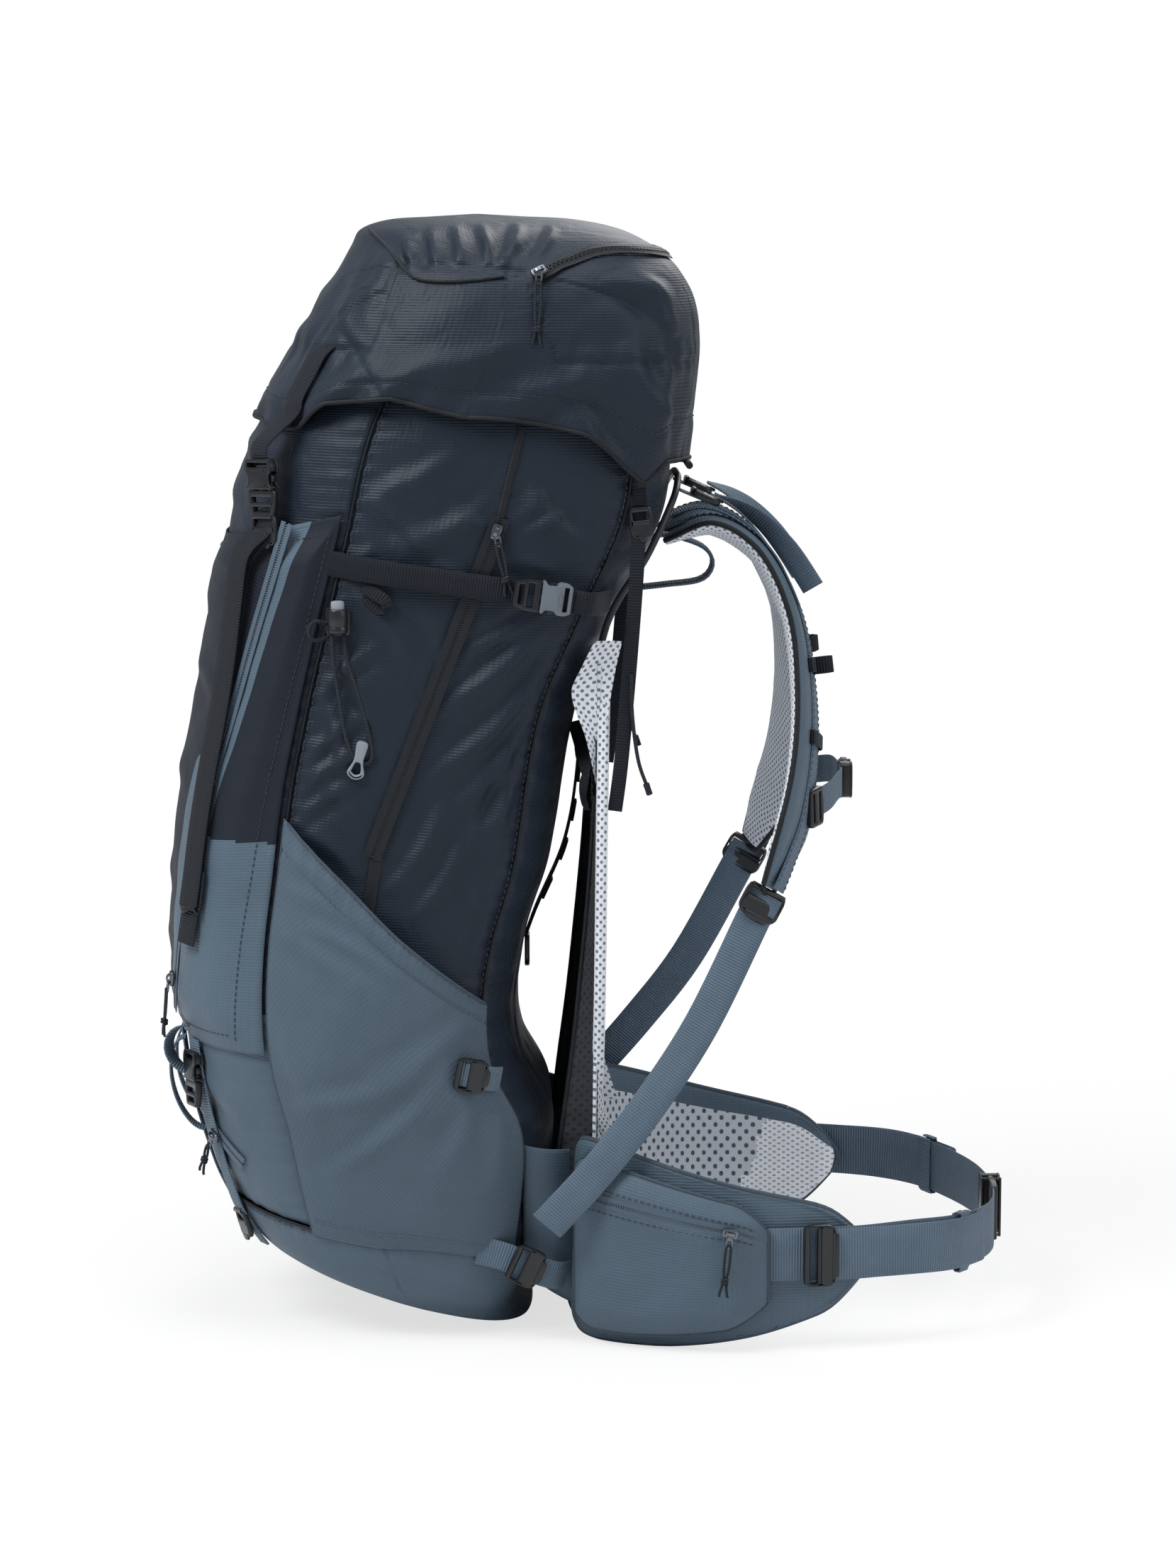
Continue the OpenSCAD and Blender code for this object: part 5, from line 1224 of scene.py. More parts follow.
# Edge of the flap that hides the side zipper's top
flap_line = on_side(np.array([80, 77, 73, 69, 65]), np.array([640, 626, 610, 594, 578]), 0.4)
piece("side_zip_flap", "bag", both(swept(even(route(flap_line), 4), (0, 1, 0.2), flat_section(5, 1.6))),
      black_binding)
piece("side_zip_foot", "bag", both(swept(on_side(np.linspace(-20, -27, 14), np.linspace(350, 306, 14), 0.6),
                                         (0, 1, 0.2), flat_section(8, 1.4))), charcoal_tape)

# ---- Lid straps with their buckles ----


def hinge_tangent(p):
    """Way that a point of the lid starts to move when it opens."""
    return unit((0, p[2] - HINGE_Z, HINGE_Y - p[1]))


def front_out(x, z):
    """Outward direction of the bag's front at x and a height."""
    return unit(np.cross(on_front(x + 2, z) - on_front(x - 2, z), on_front(x, z + 2) - on_front(x, z - 2)))


STRAP_X, BUCKLE_Z = 103, 594
buckle_out = front_out(STRAP_X, BUCKLE_Z)
buckle_at = on_front(STRAP_X, BUCKLE_Z) + buckle_out * (POCKET_D + POCKET_T + BUCKLE_H / 2 + 2)
down = -hinge_tangent(buckle_at)
across = lid_on_front(STRAP_X + 2, 0.1) - lid_on_front(STRAP_X - 2, 0.1)
end = buckle_at - down * (SOCKET_L + 0.4)
over = [lid_on_front(STRAP_X, k, o) for k, o in ((0.30, -3.0), (0.27, 0.5))]
over += [lid_on_front(STRAP_X, k, WEB_T / 2 + 2.0) for k in (0.24, 0.18, 0.12, 0.06)]
lid_strap = strap([*over, end - down * 9, end + down * 4, end + down * 5], across, STRAP_W)
piece("lid_strap_webbing", "lid", both(lid_strap), black_webbing, ["lid_straps"])
moulded("lid_buckle_socket_bodies", "lid", both(placed(socket(STRAP_W), buckle_at, down, buckle_out)),
        ["lid_buckle_sockets"])
lid_plug = joined(placed(plug(STRAP_W), buckle_at, down, buckle_out),
                  placed(ladder_lock(STRAP_W - 2, 4.6), buckle_at + down * (PLUG_L + 9), down,
                         buckle_out + (0.1, -0.1, 0.2)))
moulded("lid_buckle_plug_bodies", "bag", both(lid_plug), ["lid_buckle_plugs"])
x = STRAP_X + 4
start = buckle_at + down * (PLUG_L - 6)
tail_side = on_front(x + 2, 450) - on_front(x - 2, 450)
tail_points = [start, start + down * 12, *[on_front(x, k, POCKET_D + POCKET_T + o) for k, o in
               ((552, 8), (520, 8), (480, 6.5), (440, 6), (400, 5.5), (360, 6), (325, 6.5), (303, 7), (302, 5),
                (318, 4.4), (330, 4.4))]]
second = [start + down * 4, start + down * 15, *[on_front(x - 3, k, POCKET_D + POCKET_T + o) for k, o in
          ((546, 4), (510, 4), (470, 3.6), (430, 3.4), (390, 3.2), (350, 3.2), (316, 3.4), (290, 4.6), (277, 5.6))]]
piece("lid_tail_webbing", "bag", both(joined(strap(tail_points, tail_side, STRAP_W),
                                             strap(second, tail_side, STRAP_W - 2))),
      black_webbing, ["lid_strap_tails"])

# ---- Side compression strap ----

SIDE_FRONT, SIDE_BACK = (-37, 545), (93, 526)


def side_strap(t, off):
    """Side strap's line from its front end (t = 0) to its buckle."""
    return on_side(mix(SIDE_FRONT[0], SIDE_BACK[0], t), mix(SIDE_FRONT[1], SIDE_BACK[1], t), off)


way = unit(side_strap(1, 8.4) - side_strap(0.7, 8.4))
side_buckle = side_strap(1, 8.4 + WEB_T / 2 + 0.4 + 2.5 + 1.4)
stub = side_buckle + way * (SOCKET_L - 5)
stub_end = side_buckle + way * (SOCKET_L + 18)
run = [side_strap(-0.30, 1.6), side_strap(-0.22, 1.8), side_strap(-0.08, 2.4),
       side_strap(0.06, 5.0)] + [side_strap(k, 7.6) for k in (0.2, 0.4, 0.6, 0.72, 0.84, 0.9)]
lower = [side_strap(0.90, 8.8), side_strap(0.7, 5.4), side_strap(0.45, 5.2), side_strap(0.3, 5.4)]
keeper = [side_strap(-0.08, k) + (0, 0, h) for k, h in ((2.4, -8), (4.4, -10), (4.8, -18), (2.6, -24), (1.4, -25))]
webs = joined(strap(run, (0, 0.14, 1), STRAP_W - 3), strap(lower, (0, 0.14, 1), STRAP_W - 5),
              strap([stub, stub_end - (0, 4, 0), on_side(stub_end[1] + 9, stub_end[2] - 1, 2.4)], (0, 0.14, 1),
                    STRAP_W - 4),
              strap([on_side(-28, 532, 2.2), on_side(-20, 527, 6), on_side(-12, 521, 5.6), on_side(-16, 516, 4),
                     on_side(-26, 524, 2.0)], (0, 0.8, 0.6), 9))
piece("side_strap_webbing", "bag", both(webs), black_webbing, ["side_straps"])
piece("side_buckle_socket_bodies", "bag", both(placed(socket(STRAP_W - 4), side_buckle, -way, (1, 0, 0))),
      grey_acetal, ["side_buckle_sockets"], smooth=40)
side_plug = placed(plug(STRAP_W - 4), side_buckle, -way, (1, 0, 0))
for name, shape in (("right", side_plug), ("left", mirrored(side_plug))):
    moulded("side_plug_body_" + name, "side_plug_" + name, shape, ["side_buckle_plug_" + name])

# ---- Pole holder: elastic cord through a barrel lock, with a pull at its end ----

BARREL_R, BARREL_L, BUTTON_BORE, TRAVEL = 7, 17, 10, 3
pole = on_side(-46, 500, 0.4 + BARREL_R)
POLE_LOOP = [(0, -4, -2.1), (0, -3, -20), (0, 1, -48), (0, 5, -72), (0, 11, -86), (0, 19, -90), (0, 23, -84),
             (0, 20, -66),
             (0, 13, -40), (0, 6, -18), (0, 4, -2.1)]
cord_line = even(route(pole + np.array(POLE_LOOP), 3), 2.2)
bungee = piece("pole_holder_cord", "bag", swept(cord_line, (1, 0, 0), round_section(1.5, 10)), charcoal_cord,
               ["pole_cord"], smooth=80)


def turned(profile):
    """Round part from a profile of (radius, height), turned about its own z in 28 points."""
    n = 28
    a = np.arange(n) * 2 * np.pi / n
    prof = np.asarray(profile, float)
    return sheet_of(np.stack([prof[:, :1] * np.cos(a), prof[:, :1] * np.sin(a),
                              np.broadcast_to(prof[:, 1:], (len(prof), n))], -1), True, caps=(0, -1))


shell = turned([(5.6, 0), (6.6, 0.5), (7, 1.4), (7, 4), (6.6, 4.6), (6.6, 5.6), (7, 6.2), (7, 15.6), (6.6, 16.6),
                (6, 17), (5.2, 17), (5.0, 16.4), (5.0, 7.2)])
plate_back = placed(plate([rounded([(-2, -8.5), (17, -8.5), (19, 0), (17, 8.5), (-2, 8.5)], 3)], 2.4, 0.8), (0, 0, 0),
                    (0, 0, 1), (1, 0, 0))
moulded("pole_lock_barrel", "bag", joined(shifted(shell, pole), shifted(plate_back, pole + (-5.2, 0, 0))),
        ["pole_cord_lock"])
top = BARREL_L - BUTTON_BORE + TRAVEL + 0.4
knob = turned([(4.2, top), (4.6, top + 0.4), (4.6, top + 10.6), (4.2, top + 11.6), (2.8, top + 12.0)])
piece("pole_lock_knob", "pole_button", shifted(knob, pole), pale_acetal, ["pole_lock_button"],
      smooth=40)
drop = rounded([(-12, -4.5), (2, -3), (12, -7), (16, 0), (12, 7), (2, 3), (-12, 4.5)], 3.5)
tab = placed(plate([drop, rounded([(3, -1.8), (10, -3.6), (12, 0), (10, 3.6), (3, 1.8)], 1.4)], 4.2, 1.2),
             pole + (0.4, 14, -86), (0, -0.25, -1), (1, 0, 0))
hook = cord_tube(pole + np.array([(-5, -7, 6), (-2, -15, 8), (-1, -20, 3), (-2, -18, -4), (-3, -12, -5),
                                  (-5, -6, -2)]), 1.5)
piece("pole_holder_tab", "bag", tab, pale_acetal, smooth=40)
piece("pole_holder_hook", "bag", hook, charcoal_cord, smooth=80)

# ---- Lower front ----

middle = [on_front(0.0, k, 4.2) for k in (200, 196, 170, 140, 112, 90, 70, 52)]
loop = [on_front(26.0, 162 + 34 * math.sin(math.radians(k)), 1.4 + 15 * math.cos(math.radians(k)))
        for k in range(-90, 91, 20)]
straps = [strap(middle, (1, 0, 0), STRAP_W), *[strap([(k * 26, q[1], q[2]) for q in loop], (1, 0, 0), STRAP_W - 6)
                                               for k in (-1, 1)]]
side_x = np.array([84, 84, 85, 86, 86, 84, 80])
lower_z = np.array([205, 190, 160, 130, 105, 80, 56])
lower_line = [on_front(k, h, 3.4) for k, h in zip(side_x, lower_z)]
lower_side = unit(on_front(86, 140) - on_front(82, 140))
straps.append(both(strap(lower_line, lower_side, STRAP_W - 2)))
tool = [on_front(70.0, 196 + 17 * math.sin(k), 2.4 + 15 * math.cos(k)) for k in np.linspace(-1.6, 1.6, 9)]
straps.append(both(strap(tool, (0.9, -0.4, 0), 14)))
piece("front_webbing", "bag", joined(*straps), slate_webbing, ["front_loops"])
low_out = front_out(84, 176)
low_buckle = on_front(84, 176, 7.6)
low_hw = joined(placed(socket(STRAP_W - 3, 8), low_buckle, (0.05, 0, -1), low_out),
                placed(plug(STRAP_W - 3, 3.4), low_buckle, (0.05, 0, -1), low_out),
                placed(ladder_lock(STRAP_W - 3, 4), on_front(82, 72, 5.4), (0.05, 0.3, -1), front_out(82, 72)))
moulded("lower_front_buckles", "bag", both(low_hw))

# ---- Frame, mesh and lumbar pad ----


def pt(x, y, z):
    return np.array([x, y, z], float)


frame_side = [pt(86, 119, 125.9), pt(94, 122, 142), pt(110, 130.6, 180), pt(125, 132, 260), pt(125, 133.2, 380)]
frame_high = [on_back(0.36 * BAG_W, 490, 6), on_back(0.32 * BAG_W, 550, 5), on_back(0.27 * BAG_W, 585, 5),
              on_back(0.15 * BAG_W, 598, 5)]
half = frame_side + frame_high
whole = half + [on_back(0.0, 600, 5)] + [q * (-1, 1, 1) for q in half[::-1]]
piece("frame_rod", "bag", swept(even(route(whole, 8), 5), (0, 1, 0.01), round_section(2.5, 12)), spring_steel,
      ["steel_frame"], smooth=60)

u, v = spread(72, 90)
x = mix(124, -124, u)
net = np.stack([x, mix(132.5, 136, v) + 1.2 * (x / 120)**2 + 2.4 - 3.0 * np.clip((np.abs(x) - 112) / 12, 0, 1)**2 * 2,
                mix(128, 476, v)], -1)
mesh_shape = sheet_of(net)
back_net = piece("back_mesh_net", "bag", mesh_shape, white_mesh, ["back_mesh"], wall=2.4)
h = np.linspace(122, 470, 60)
sleeve_line = np.column_stack([curve([(122, 96), (142, 104), (180, 117), (260, 129), (380, 129), (470, 118)], h),
                               curve([(122, 126), (180, 131), (380, 134), (470, 136)], h), h])
tube = np.array([(-4.2, 0), (-3, -2.8), (0, -4), (3, -2.8), (4.2, 0), (3, 2.8), (0, 4), (-3, 2.8)])
sleeve = swept(sleeve_line + (0, 1.2, 0), (0, 1, 0), tube)
# Upper wing: from the tube forward to the bag's rear seam, drawn in along its lower edge
u, v = spread(24, 40)
wz = mix(392, 492, v)
wing_front, wing_rear = curve([(392, 131), (424, 124), (456, 114), (474, 121), (492, 130)],
                              wz), curve([(392, 138), (440, 139.5), (470, 144), (492, 149)], wz)
wing = np.stack([126 - 4 * np.sin(np.pi * u) + 0 * wz, mix(wing_rear, wing_front, u), wz + 0 * u], -1)
foot_z = mix(118, 160, v)
foot = np.stack([mix(124, 112, 1 - v) + 0 * u, mix(132, mix(152, 138, v), u), foot_z + 0 * u], -1)
piece("mesh_edge", "bag", both(joined(sleeve, sheet_of(wing), sheet_of(foot))), white_mesh,
      smooth=70)
# Cloth wing from the bag's foot to the root of each fin
u, v = spread(20, 40)
hz = mix(30, 138, v)
start = on_side(np.float64(80), hz[:, 0], 0.6)[:, None]
end = np.stack([np.full(len(v), 113.0), np.full(len(v), 119.0), mix(18, 132, v[:, 0])], -1)[:, None]
hip_wing = mix(start, end, u[..., None]) + np.stack([9 * np.sin(np.pi * u), 0 * u, 0 * u], -1)
piece("hip_wings", "bag", both(sheet_of(hip_wing)), slate_ripstop, wall=1.2)
# Dark mesh gusset that stands inside the tube, wide at its foot
u, v = spread(20, 70)
gz = mix(112, 384, v)
low_edge = curve([(112, 103), (147, 107), (200, 114), (246, 119), (320, 126), (384, 130)], gz)
gusset = np.stack([mix(119, 123, u) - 0.7 * np.cos(gz * 2 * np.pi / 17) * (1 - u), mix(low_edge, 132, u), gz + 0 * u],
                  -1)
piece("back_gusset", "bag", both(sheet_of(gusset)), dark_mesh, wall=0.8)
edge = swept(even(gusset[:, 0], 6), (0, 1, 0), round_section(1.6, 8))
piece("gusset_binding", "bag", both(edge), black_binding)
# Straps and a cord that hang from the lid's rear corners, and a loop under the harness
rear_tail = strap([on_side(160, 598, 1.5), on_side(161, 588, 3.5), on_side(160, 572, 5), (132, 159, 545),
                   (130, 156, 500), (129, 152, 450), (128, 148, 405), (127, 144, 374)], (0, 1, 0.15), 10)
rear_lock = placed(ladder_lock(10, 4), on_side(162, 574, 6.5), (0, 0.1, -1), (1, 0, 0))
rear_line = even(route(np.array([(131, 155, 470), (131, 156, 440), (130, 160, 410), (130, 166, 392),
                                 (129, 168, 386)]), 6), 2.0)
hang = strap([on_side(118, 420, 1.0), (116, 124, 405), (115, 122, 385), (115, 126, 372), (115, 131, 380),
              (116, 131, 402), (118, 128, 424)], (0.9, 0.45, 0), 10, t=1.2)
piece("rear_tails", "bag", both(joined(rear_tail, hang)), black_webbing)
for name, side_sign in (("right", 1), ("left", -1)):
    line = rear_line * (side_sign, 1, 1)
    knot = piece("rear_knot_" + name, "bag", swept(line[-5:], NO_SIDE, round_section(2.3)), charcoal_cord)
    rear_cord = piece("rear_cord_" + name, "bag", swept(line, NO_SIDE, round_section(1.3)), charcoal_cord)
moulded("rear_locks", "bag", both(rear_lock))

u, v = spread(64, 48)
x = mix(95, -95, u)
f = (1 - np.abs(2 * v - 1)**8)**0.5 * (1 - np.abs(2 * u - 1)**10)**0.5
channels = 1.6 * np.exp(-((np.abs(x) - 34) / 4)**2)
soft = 10.4 * (0.35 + 0.65 * f) - channels
z = mix(7, 123, v)
front_face = np.stack([x, 119 + soft, z], -1)
back_face = np.stack([x, 119 - soft * 0.9, z], -1)


def cushion(front, rear):
    """Closed pad from its two faces on one grid: the rims are joined all round."""
    rows, cols = front.shape[:2]
    p = np.vstack([front.reshape(-1, 3), rear.reshape(-1, 3)])
    a = cells(cols - 1, rows - 1)
    n = rows * cols
    i = np.arange(n).reshape(rows, cols)
    rim = np.concatenate([i[0], i[1:, -1], i[-1, -2::-1], i[-2:0:-1, 0]])
    edge = np.stack([np.roll(rim, -1), rim, rim + n, np.roll(rim, -1) + n], -1)
    uv = np.concatenate([sheet_of(front)[2], sheet_of(rear)[2]])
    return p, [a, a[:, ::-1] + n, edge], uv


pad = piece("lumbar_cushion", "bag", cushion(front_face, back_face), dark_mesh, ["lumbar_pad"], smooth=70)
inflate(pad, np.tile(np.minimum.reduce([*np.broadcast_arrays(u, 1 - u, v, 1 - v)]).ravel() < 0.02, 2), 2.0)
folds_at = swept(np.column_stack([np.full(20, 100.0), np.full(20, 119.0), np.linspace(8, 120, 20)]), (1, 0, 0),
                 round_section(4, 14))
piece("fold_cord", "bag", both(folds_at), slate_binding, ["fold_piping"], smooth=60)

h = np.linspace(470, 264, 30)
ladder = on_back(0.0, h, WEB_T / 2 + 1.2 + 9 * np.sin(np.pi * (h - 264) / 206))
piece("back_length_webbing", "bag", joined(swept(ladder, (1, 0, 0), flat_section(STRAP_W, WEB_T)),
      *[swept(ladder[k:k + 3] + (0, 1.6, 0), (1, 0, 0), flat_section(STRAP_W - 3, 2.4)) for k in range(3, 27, 4)]),
      black_webbing, ["back_length_strap"])
hook_at = on_back(0.0, 254, 5)
hook_plate = plate([rounded([(-12, -11), (8, -11), (13, 0), (8, 11), (-12, 11)], 4), round_section(3.4, 16) + (3, 0),
                    box_outline(-10, -6, 8, 1)], 3.6, 1.0)
moulded("back_length_hook", "bag", placed(hook_plate, hook_at, (0, 0, -1), (0, 1, 0)))

# ---- Shoulder harness ----

SHOULDER = [(48, 182, 556), (51, 214, 566), (56, 247, 546), (63, 270, 502), (72, 278, 451), (84, 278, 407),
            (95, 272, 368),
            (104, 262, 340), (109, 252.5, 317)]
shoulder = even(route(SHOULDER, 8), 4)
n = len(shoulder)
tilt = np.radians(mix(6, -24, np.linspace(0, 1, n)))
shoulder_side = np.column_stack([np.cos(tilt), np.sin(tilt), np.full(n, 0.12)])
SHOULDER_W, SHOULDER_T = 66, 13
s = np.linspace(0, 1, n)
taper = np.minimum(1, np.minimum(0.62 + s * 4, 0.42 + (1 - s) * 4.2))
ring = np.linspace(0, 2 * np.pi, 37)[:-1]
cross = np.stack([np.sign(np.cos(ring)) * np.abs(np.cos(ring))**0.55 * SHOULDER_W / 2,
                  np.sign(np.sin(ring)) * np.abs(np.sin(ring))**0.75 * SHOULDER_T / 2], -1)
sections = cross[None] * np.stack([taper, 0.55 + 0.45 * np.minimum(1, np.minimum(s * 14, (1 - s) * 14))], -1)[:, None]
# A sewn channel down each side of the pad's middle
sections[..., 1] *= 1 - 0.16 * np.exp(-((np.abs(sections[..., 0]) - 16) / 2.2)**2)
pad_shape = swept(shoulder, shoulder_side, sections)
quads_up = np.tile(np.arange(36), n - 1)
mid_ring = ring[quads_up] + np.pi / 36
pad_marks = (np.sin(mid_ring) > 0.02).astype(np.int32)
pads = {}
for name, shape in (("right", pad_shape), ("left", mirrored(pad_shape))):
    pads[name] = piece("shoulder_pad_" + name, "bag", shape, [slate_ripstop, white_mesh],
                       ["shoulder_pads"] if name == "right" else (),
                       marks=pad_marks, smooth=70)
    inflate(pads[name], np.tile(np.abs(np.sin(ring)) < 0.2, n) | (np.repeat(s, 36) < 0.03)
            | (np.repeat(s, 36) > 0.97), 1.6)
along = unit(np.gradient(shoulder, axis=0))
acr = unit(shoulder_side - (shoulder_side * along).sum(1, keepdims=True) * along)
rise = np.cross(along, acr)
edges = [swept(even(shoulder + acr * (k * (SHOULDER_W / 2 * taper + 0.2))[:, None], 4), (0, 1, 0.3),
               round_section(1.9, 8)) for k in (-1, 1)]
tip = [shoulder[-1] + acr[-1] * (SHOULDER_W / 2 * taper[-1]) * math.cos(k) + along[-1] * 5 * math.sin(k)
       for k in np.linspace(0, np.pi, 9)]
piece("shoulder_binding", "bag", both(joined(*edges, cord_tube(tip, 1.9))), black_binding)
band_line = shoulder - rise * (SHOULDER_T / 2 + 0.8)
piece("shoulder_band", "bag", both(swept(band_line[3:], shoulder_side[3:], flat_section(HARNESS_W - 3, WEB_T))),
      slate_webbing)
row = [stitches(band_line[3:] + acr[3:] * k - rise[3:] * 0.9, -rise[3:]) for k in (-9.6, 9.6)]
piece("shoulder_stitching", "bag", both(joined(*row)), slate_thread)
loops = []
for j in (n // 2, int(n * 0.66)):
    c, o, a = band_line[j], -rise[j], acr[j]
    loops.append(strap([c - a * 15 - o * 2, c - a * 14 + o * 2.6, c + o * 3.4, c + a * 14 + o * 2.6,
                        c + a * 15 - o * 2],
                       along[j], 10, t=1.2))
c, o, a = band_line[n // 2], -rise[n // 2], acr[n // 2]
loops.append(strap([c + a * 2 + o, c + a * 3 + o * 10, c + o * 15, c - a * 4 + o * 9, c - a * 3 + o], along[n // 2],
                   12,
                   t=1.2))
piece("shoulder_loops", "bag", both(joined(*loops)), black_webbing)

LOWER = [(113.4, 241.3, 295.8), (132, 205, 225), (152, 168, 172), (164, 132, 128), (165, 104, 97)]
lower = [(112.2, 250.6, 312.5), (113.2, 244.5, 301.5)] + LOWER + [(163, 96, 88)]
piece("lower_shoulder_webbing", "bag", both(strap(lower, (0, 0.77, -0.64), HARNESS_W)), slate_webbing,
      ["shoulder_webbing"])
at_pad = pt(112.6, 247.2, 306.3)
lock = placed(ladder_lock(HARNESS_W, 5), at_pad, pt(116.6, 235.2, 284.3) - at_pad, (1, 0.3, 0))
moulded("harness_lock_bodies", "bag", both(lock), ["harness_ladder_locks"])
lifter = [(60, 191, 592), (60, 232, 573), (61, 256, 549), (62.5, 268, 527.5), (64, 275.2, 510.5)]
lifter_hw = placed(ladder_lock(STRAP_W, 4.4), pt(60.2, 209, 587), (0, 0.86, -0.4), (0, 0.4, 0.86))
piece("load_lifter_webbing", "bag", both(joined(strap(lifter, (1, 0, 0), STRAP_W),
      strap([(60, 216, 589), (60, 234, 581), (61, 253, 566), (62.5, 270, 546), (64, 285, 523)],
            [(1, 0, 0), (0.8, 0.42, 0.42), (0.55, 0.6, 0.6), (0.5, 0.62, 0.6)], STRAP_W - 2))),
      slate_webbing, ["load_lifters"])
moulded("load_lifter_locks", "bag", both(lifter_hw))
hy = float(rear_y(548.0))
haul = [(0, float(rear_y(552.0)) + 1.6, 552), (0, hy + 14, 556), (0, hy + 40, 548), (0, hy + 48, 536),
        (0, hy + 40, 524), (0, hy + 14, 520),
        (0, float(rear_y(517.0)) + 1.8, 517)]
piece("haul_loop_webbing", "bag", strap(haul, (1, 0, 0), HARNESS_W, t=2.6), slate_webbing, ["haul_loop"])

CHEST = [(92, 283, 372), (70, 297, 376), (46, 305, 380), (34, 308, 380)]
CHEST_Y, CHEST_Z = 313, 380
inner_y = CHEST_Y - 2.5 - 0.4 - WEB_T / 2
half_strap = lambda end_x: strap(CHEST + [(end_x, inner_y, CHEST_Z)], (0, 0, 1), STRAP_W)
piece("chest_webbing", "bag", joined(half_strap(SOCKET_L - 4), mirrored(half_strap(9.5))), slate_webbing,
      ["chest_strap"])
chest = lambda shape: placed(shape, (0, CHEST_Y, CHEST_Z), (-1, 0, 0), (0, 1, 0))
moulded("chest_socket_body", "bag", chest(socket(STRAP_W)), ["chest_buckle_socket"])
moulded("chest_plug_body", "chest_plug", chest(plug(STRAP_W)), ["chest_buckle_plug"])
clip = plate([rounded([(-9, -14), (9, -14), (11, 0), (9, 14), (-9, 14)], 3), box_outline(-6, -3, 10.5, 1),
              box_outline(3, 6, 10.5, 1)], 5, 1.3)
moulded("chest_strap_clips", "bag", both(placed(clip, (90, 285.5, 371), (-0.85, 0.5, 0.1), (0.4, 0.9, 0))))

# ---- Hip belt ----

FIN_PLAN = np.array([(104.4, 119), (140, 112), (178, 190), (150, 322)], float)
FIN_T, FIN_POCKET_D = 13, 14


def fin_mid(s):
    """Plan of a fin's middle line: a cubic from its fold to its tip."""
    s = np.asarray(s, float)[..., None]
    r, q = 1 - s, FIN_PLAN
    xy = q[0] * r**3 + q[1] * 3 * r * r * s + q[2] * 3 * r * s * s + q[3] * s**3
    return np.concatenate([xy, 0 * xy[..., :1]], -1)


def fin_out(s):
    """Outward direction of a fin, level with the ground."""
    s = np.asarray(s, float)
    d = unit(fin_mid(np.minimum(1, s + 0.02)) - fin_mid(np.maximum(0, s - 0.02)))
    return np.stack([d[..., 1], -d[..., 0], 0 * d[..., 0]], -1)


def fin_top(s):
    return curve([(0, 120), (0.15, 140), (0.4, 136), (0.75, 112), (0.92, 98), (1, 84)], s)


def fin_low(s):
    return curve([(0, 8), (0.2, 2), (0.5, 0.6), (0.75, 8), (0.92, 26), (1, 44)], s)


u, w = spread(84, 44)          # u along the fin, w round its section
s = u.T
angle = (w * 2 * np.pi).T[:, :-1]
s = s[:, :-1]
c, q = np.cos(angle), np.sin(angle)
level = 0.5 - 0.5 * np.sign(c) * np.abs(c)**0.7
tip_round = np.where(s > 0.965, np.sqrt(np.clip(1 - ((s - 0.965) / 0.035)**2, 0.05, 1)), 1)
thick = FIN_T / 2 * np.sign(q) * np.abs(q)**0.55 * tip_round
close = np.where(s > 0.90, np.sqrt(np.clip(1 - ((s - 0.90) / 0.10)**2 * 0.9, 0.05, 1)), 1)
z = mix(64, mix(fin_low(s), fin_top(s), level), close)
thick = thick * (1 - 0.12 * np.exp(-((level - 0.5) / 0.05)**2) * (q < 0))
fin_points = fin_mid(s) + fin_out(s) * thick[..., None] + np.stack([0 * z, 0 * z, z], -1)
fin_len = float(lengths(fin_mid(np.linspace(0, 1, 60)))[-1])
fin_uv = np.stack([s * fin_len, z], -1) * MM
fin_shape = sheet_of(fin_points, True, fin_uv, (0, -1))
rows_n, cols_n = fin_points.shape[:2]
qs = np.repeat(s[:-1, 0], cols_n)
side_level = np.tile(level[0], rows_n - 1)
inside = np.tile(np.sin(angle[0] + np.pi / 44) < -0.02, rows_n - 1) & (side_level < 0.9)
fin_marks = np.where(inside, np.where(qs > mix(0.76, 0.86, side_level), 2, 1), 0).astype(np.int32)
k = np.linspace(0.01, 0.90, 70)
fin_binding = [swept(even(np.column_stack([*fin_mid(k)[:, :2].T, f(k) + 0.2]), 4), fin_out(np.array([0.5]))[0],
                     round_section(2.2)) for f in (fin_top, fin_low)]
k = np.linspace(-np.pi / 2, np.pi / 2, 24)
at = 0.90 + 0.10 * np.cos(k)
tip_line = fin_mid(at) + np.column_stack([0 * k, 0 * k,
                                          64 + np.sin(k) * np.where(k > 0, fin_top(at) - 64, 64 - fin_low(at))])
fin_binding.append(swept(tip_line, fin_out(np.array([0.97]))[0], round_section(2.2)))
u, v = spread(60, 30)
P0, P1, ZIP_LEVEL = 0.21, 0.8, 0.8     # the pocket's ends along the fin, and its zipper's share of its height


def pouch_skin(u, v, off):
    """Outer face of the fin's pocket, swelling away from its seams; its lower corners are round."""
    s = mix(P0, P1, u)
    swell = np.minimum(1, np.minimum.reduce([6 * u, 6 * (1 - u), 5 * v, 5 * (1 - v)]))
    swell = swell * (2 - swell)
    round_off = 1 - 0.16 * np.clip(1 - 6 * u, 0, 1)**2 - 0.42 * np.clip(1 - 6 * (1 - u), 0, 1)**2
    low = fin_low(s) + 9
    top = fin_top(s) - 9 - 15 * np.clip(1 - 7 * (1 - u), 0, 1)**2 - 8 * np.clip(1 - 9 * u, 0, 1)**2
    z = mix(mix(low, (low + top) / 2, 1 - round_off), top, v)
    p = fin_mid(s) + fin_out(s) * (FIN_T / 2 + 0.4 + off * (0.35 + 0.65 * swell))[..., None]
    return p + np.stack([0 * z, 0 * z, z], -1)


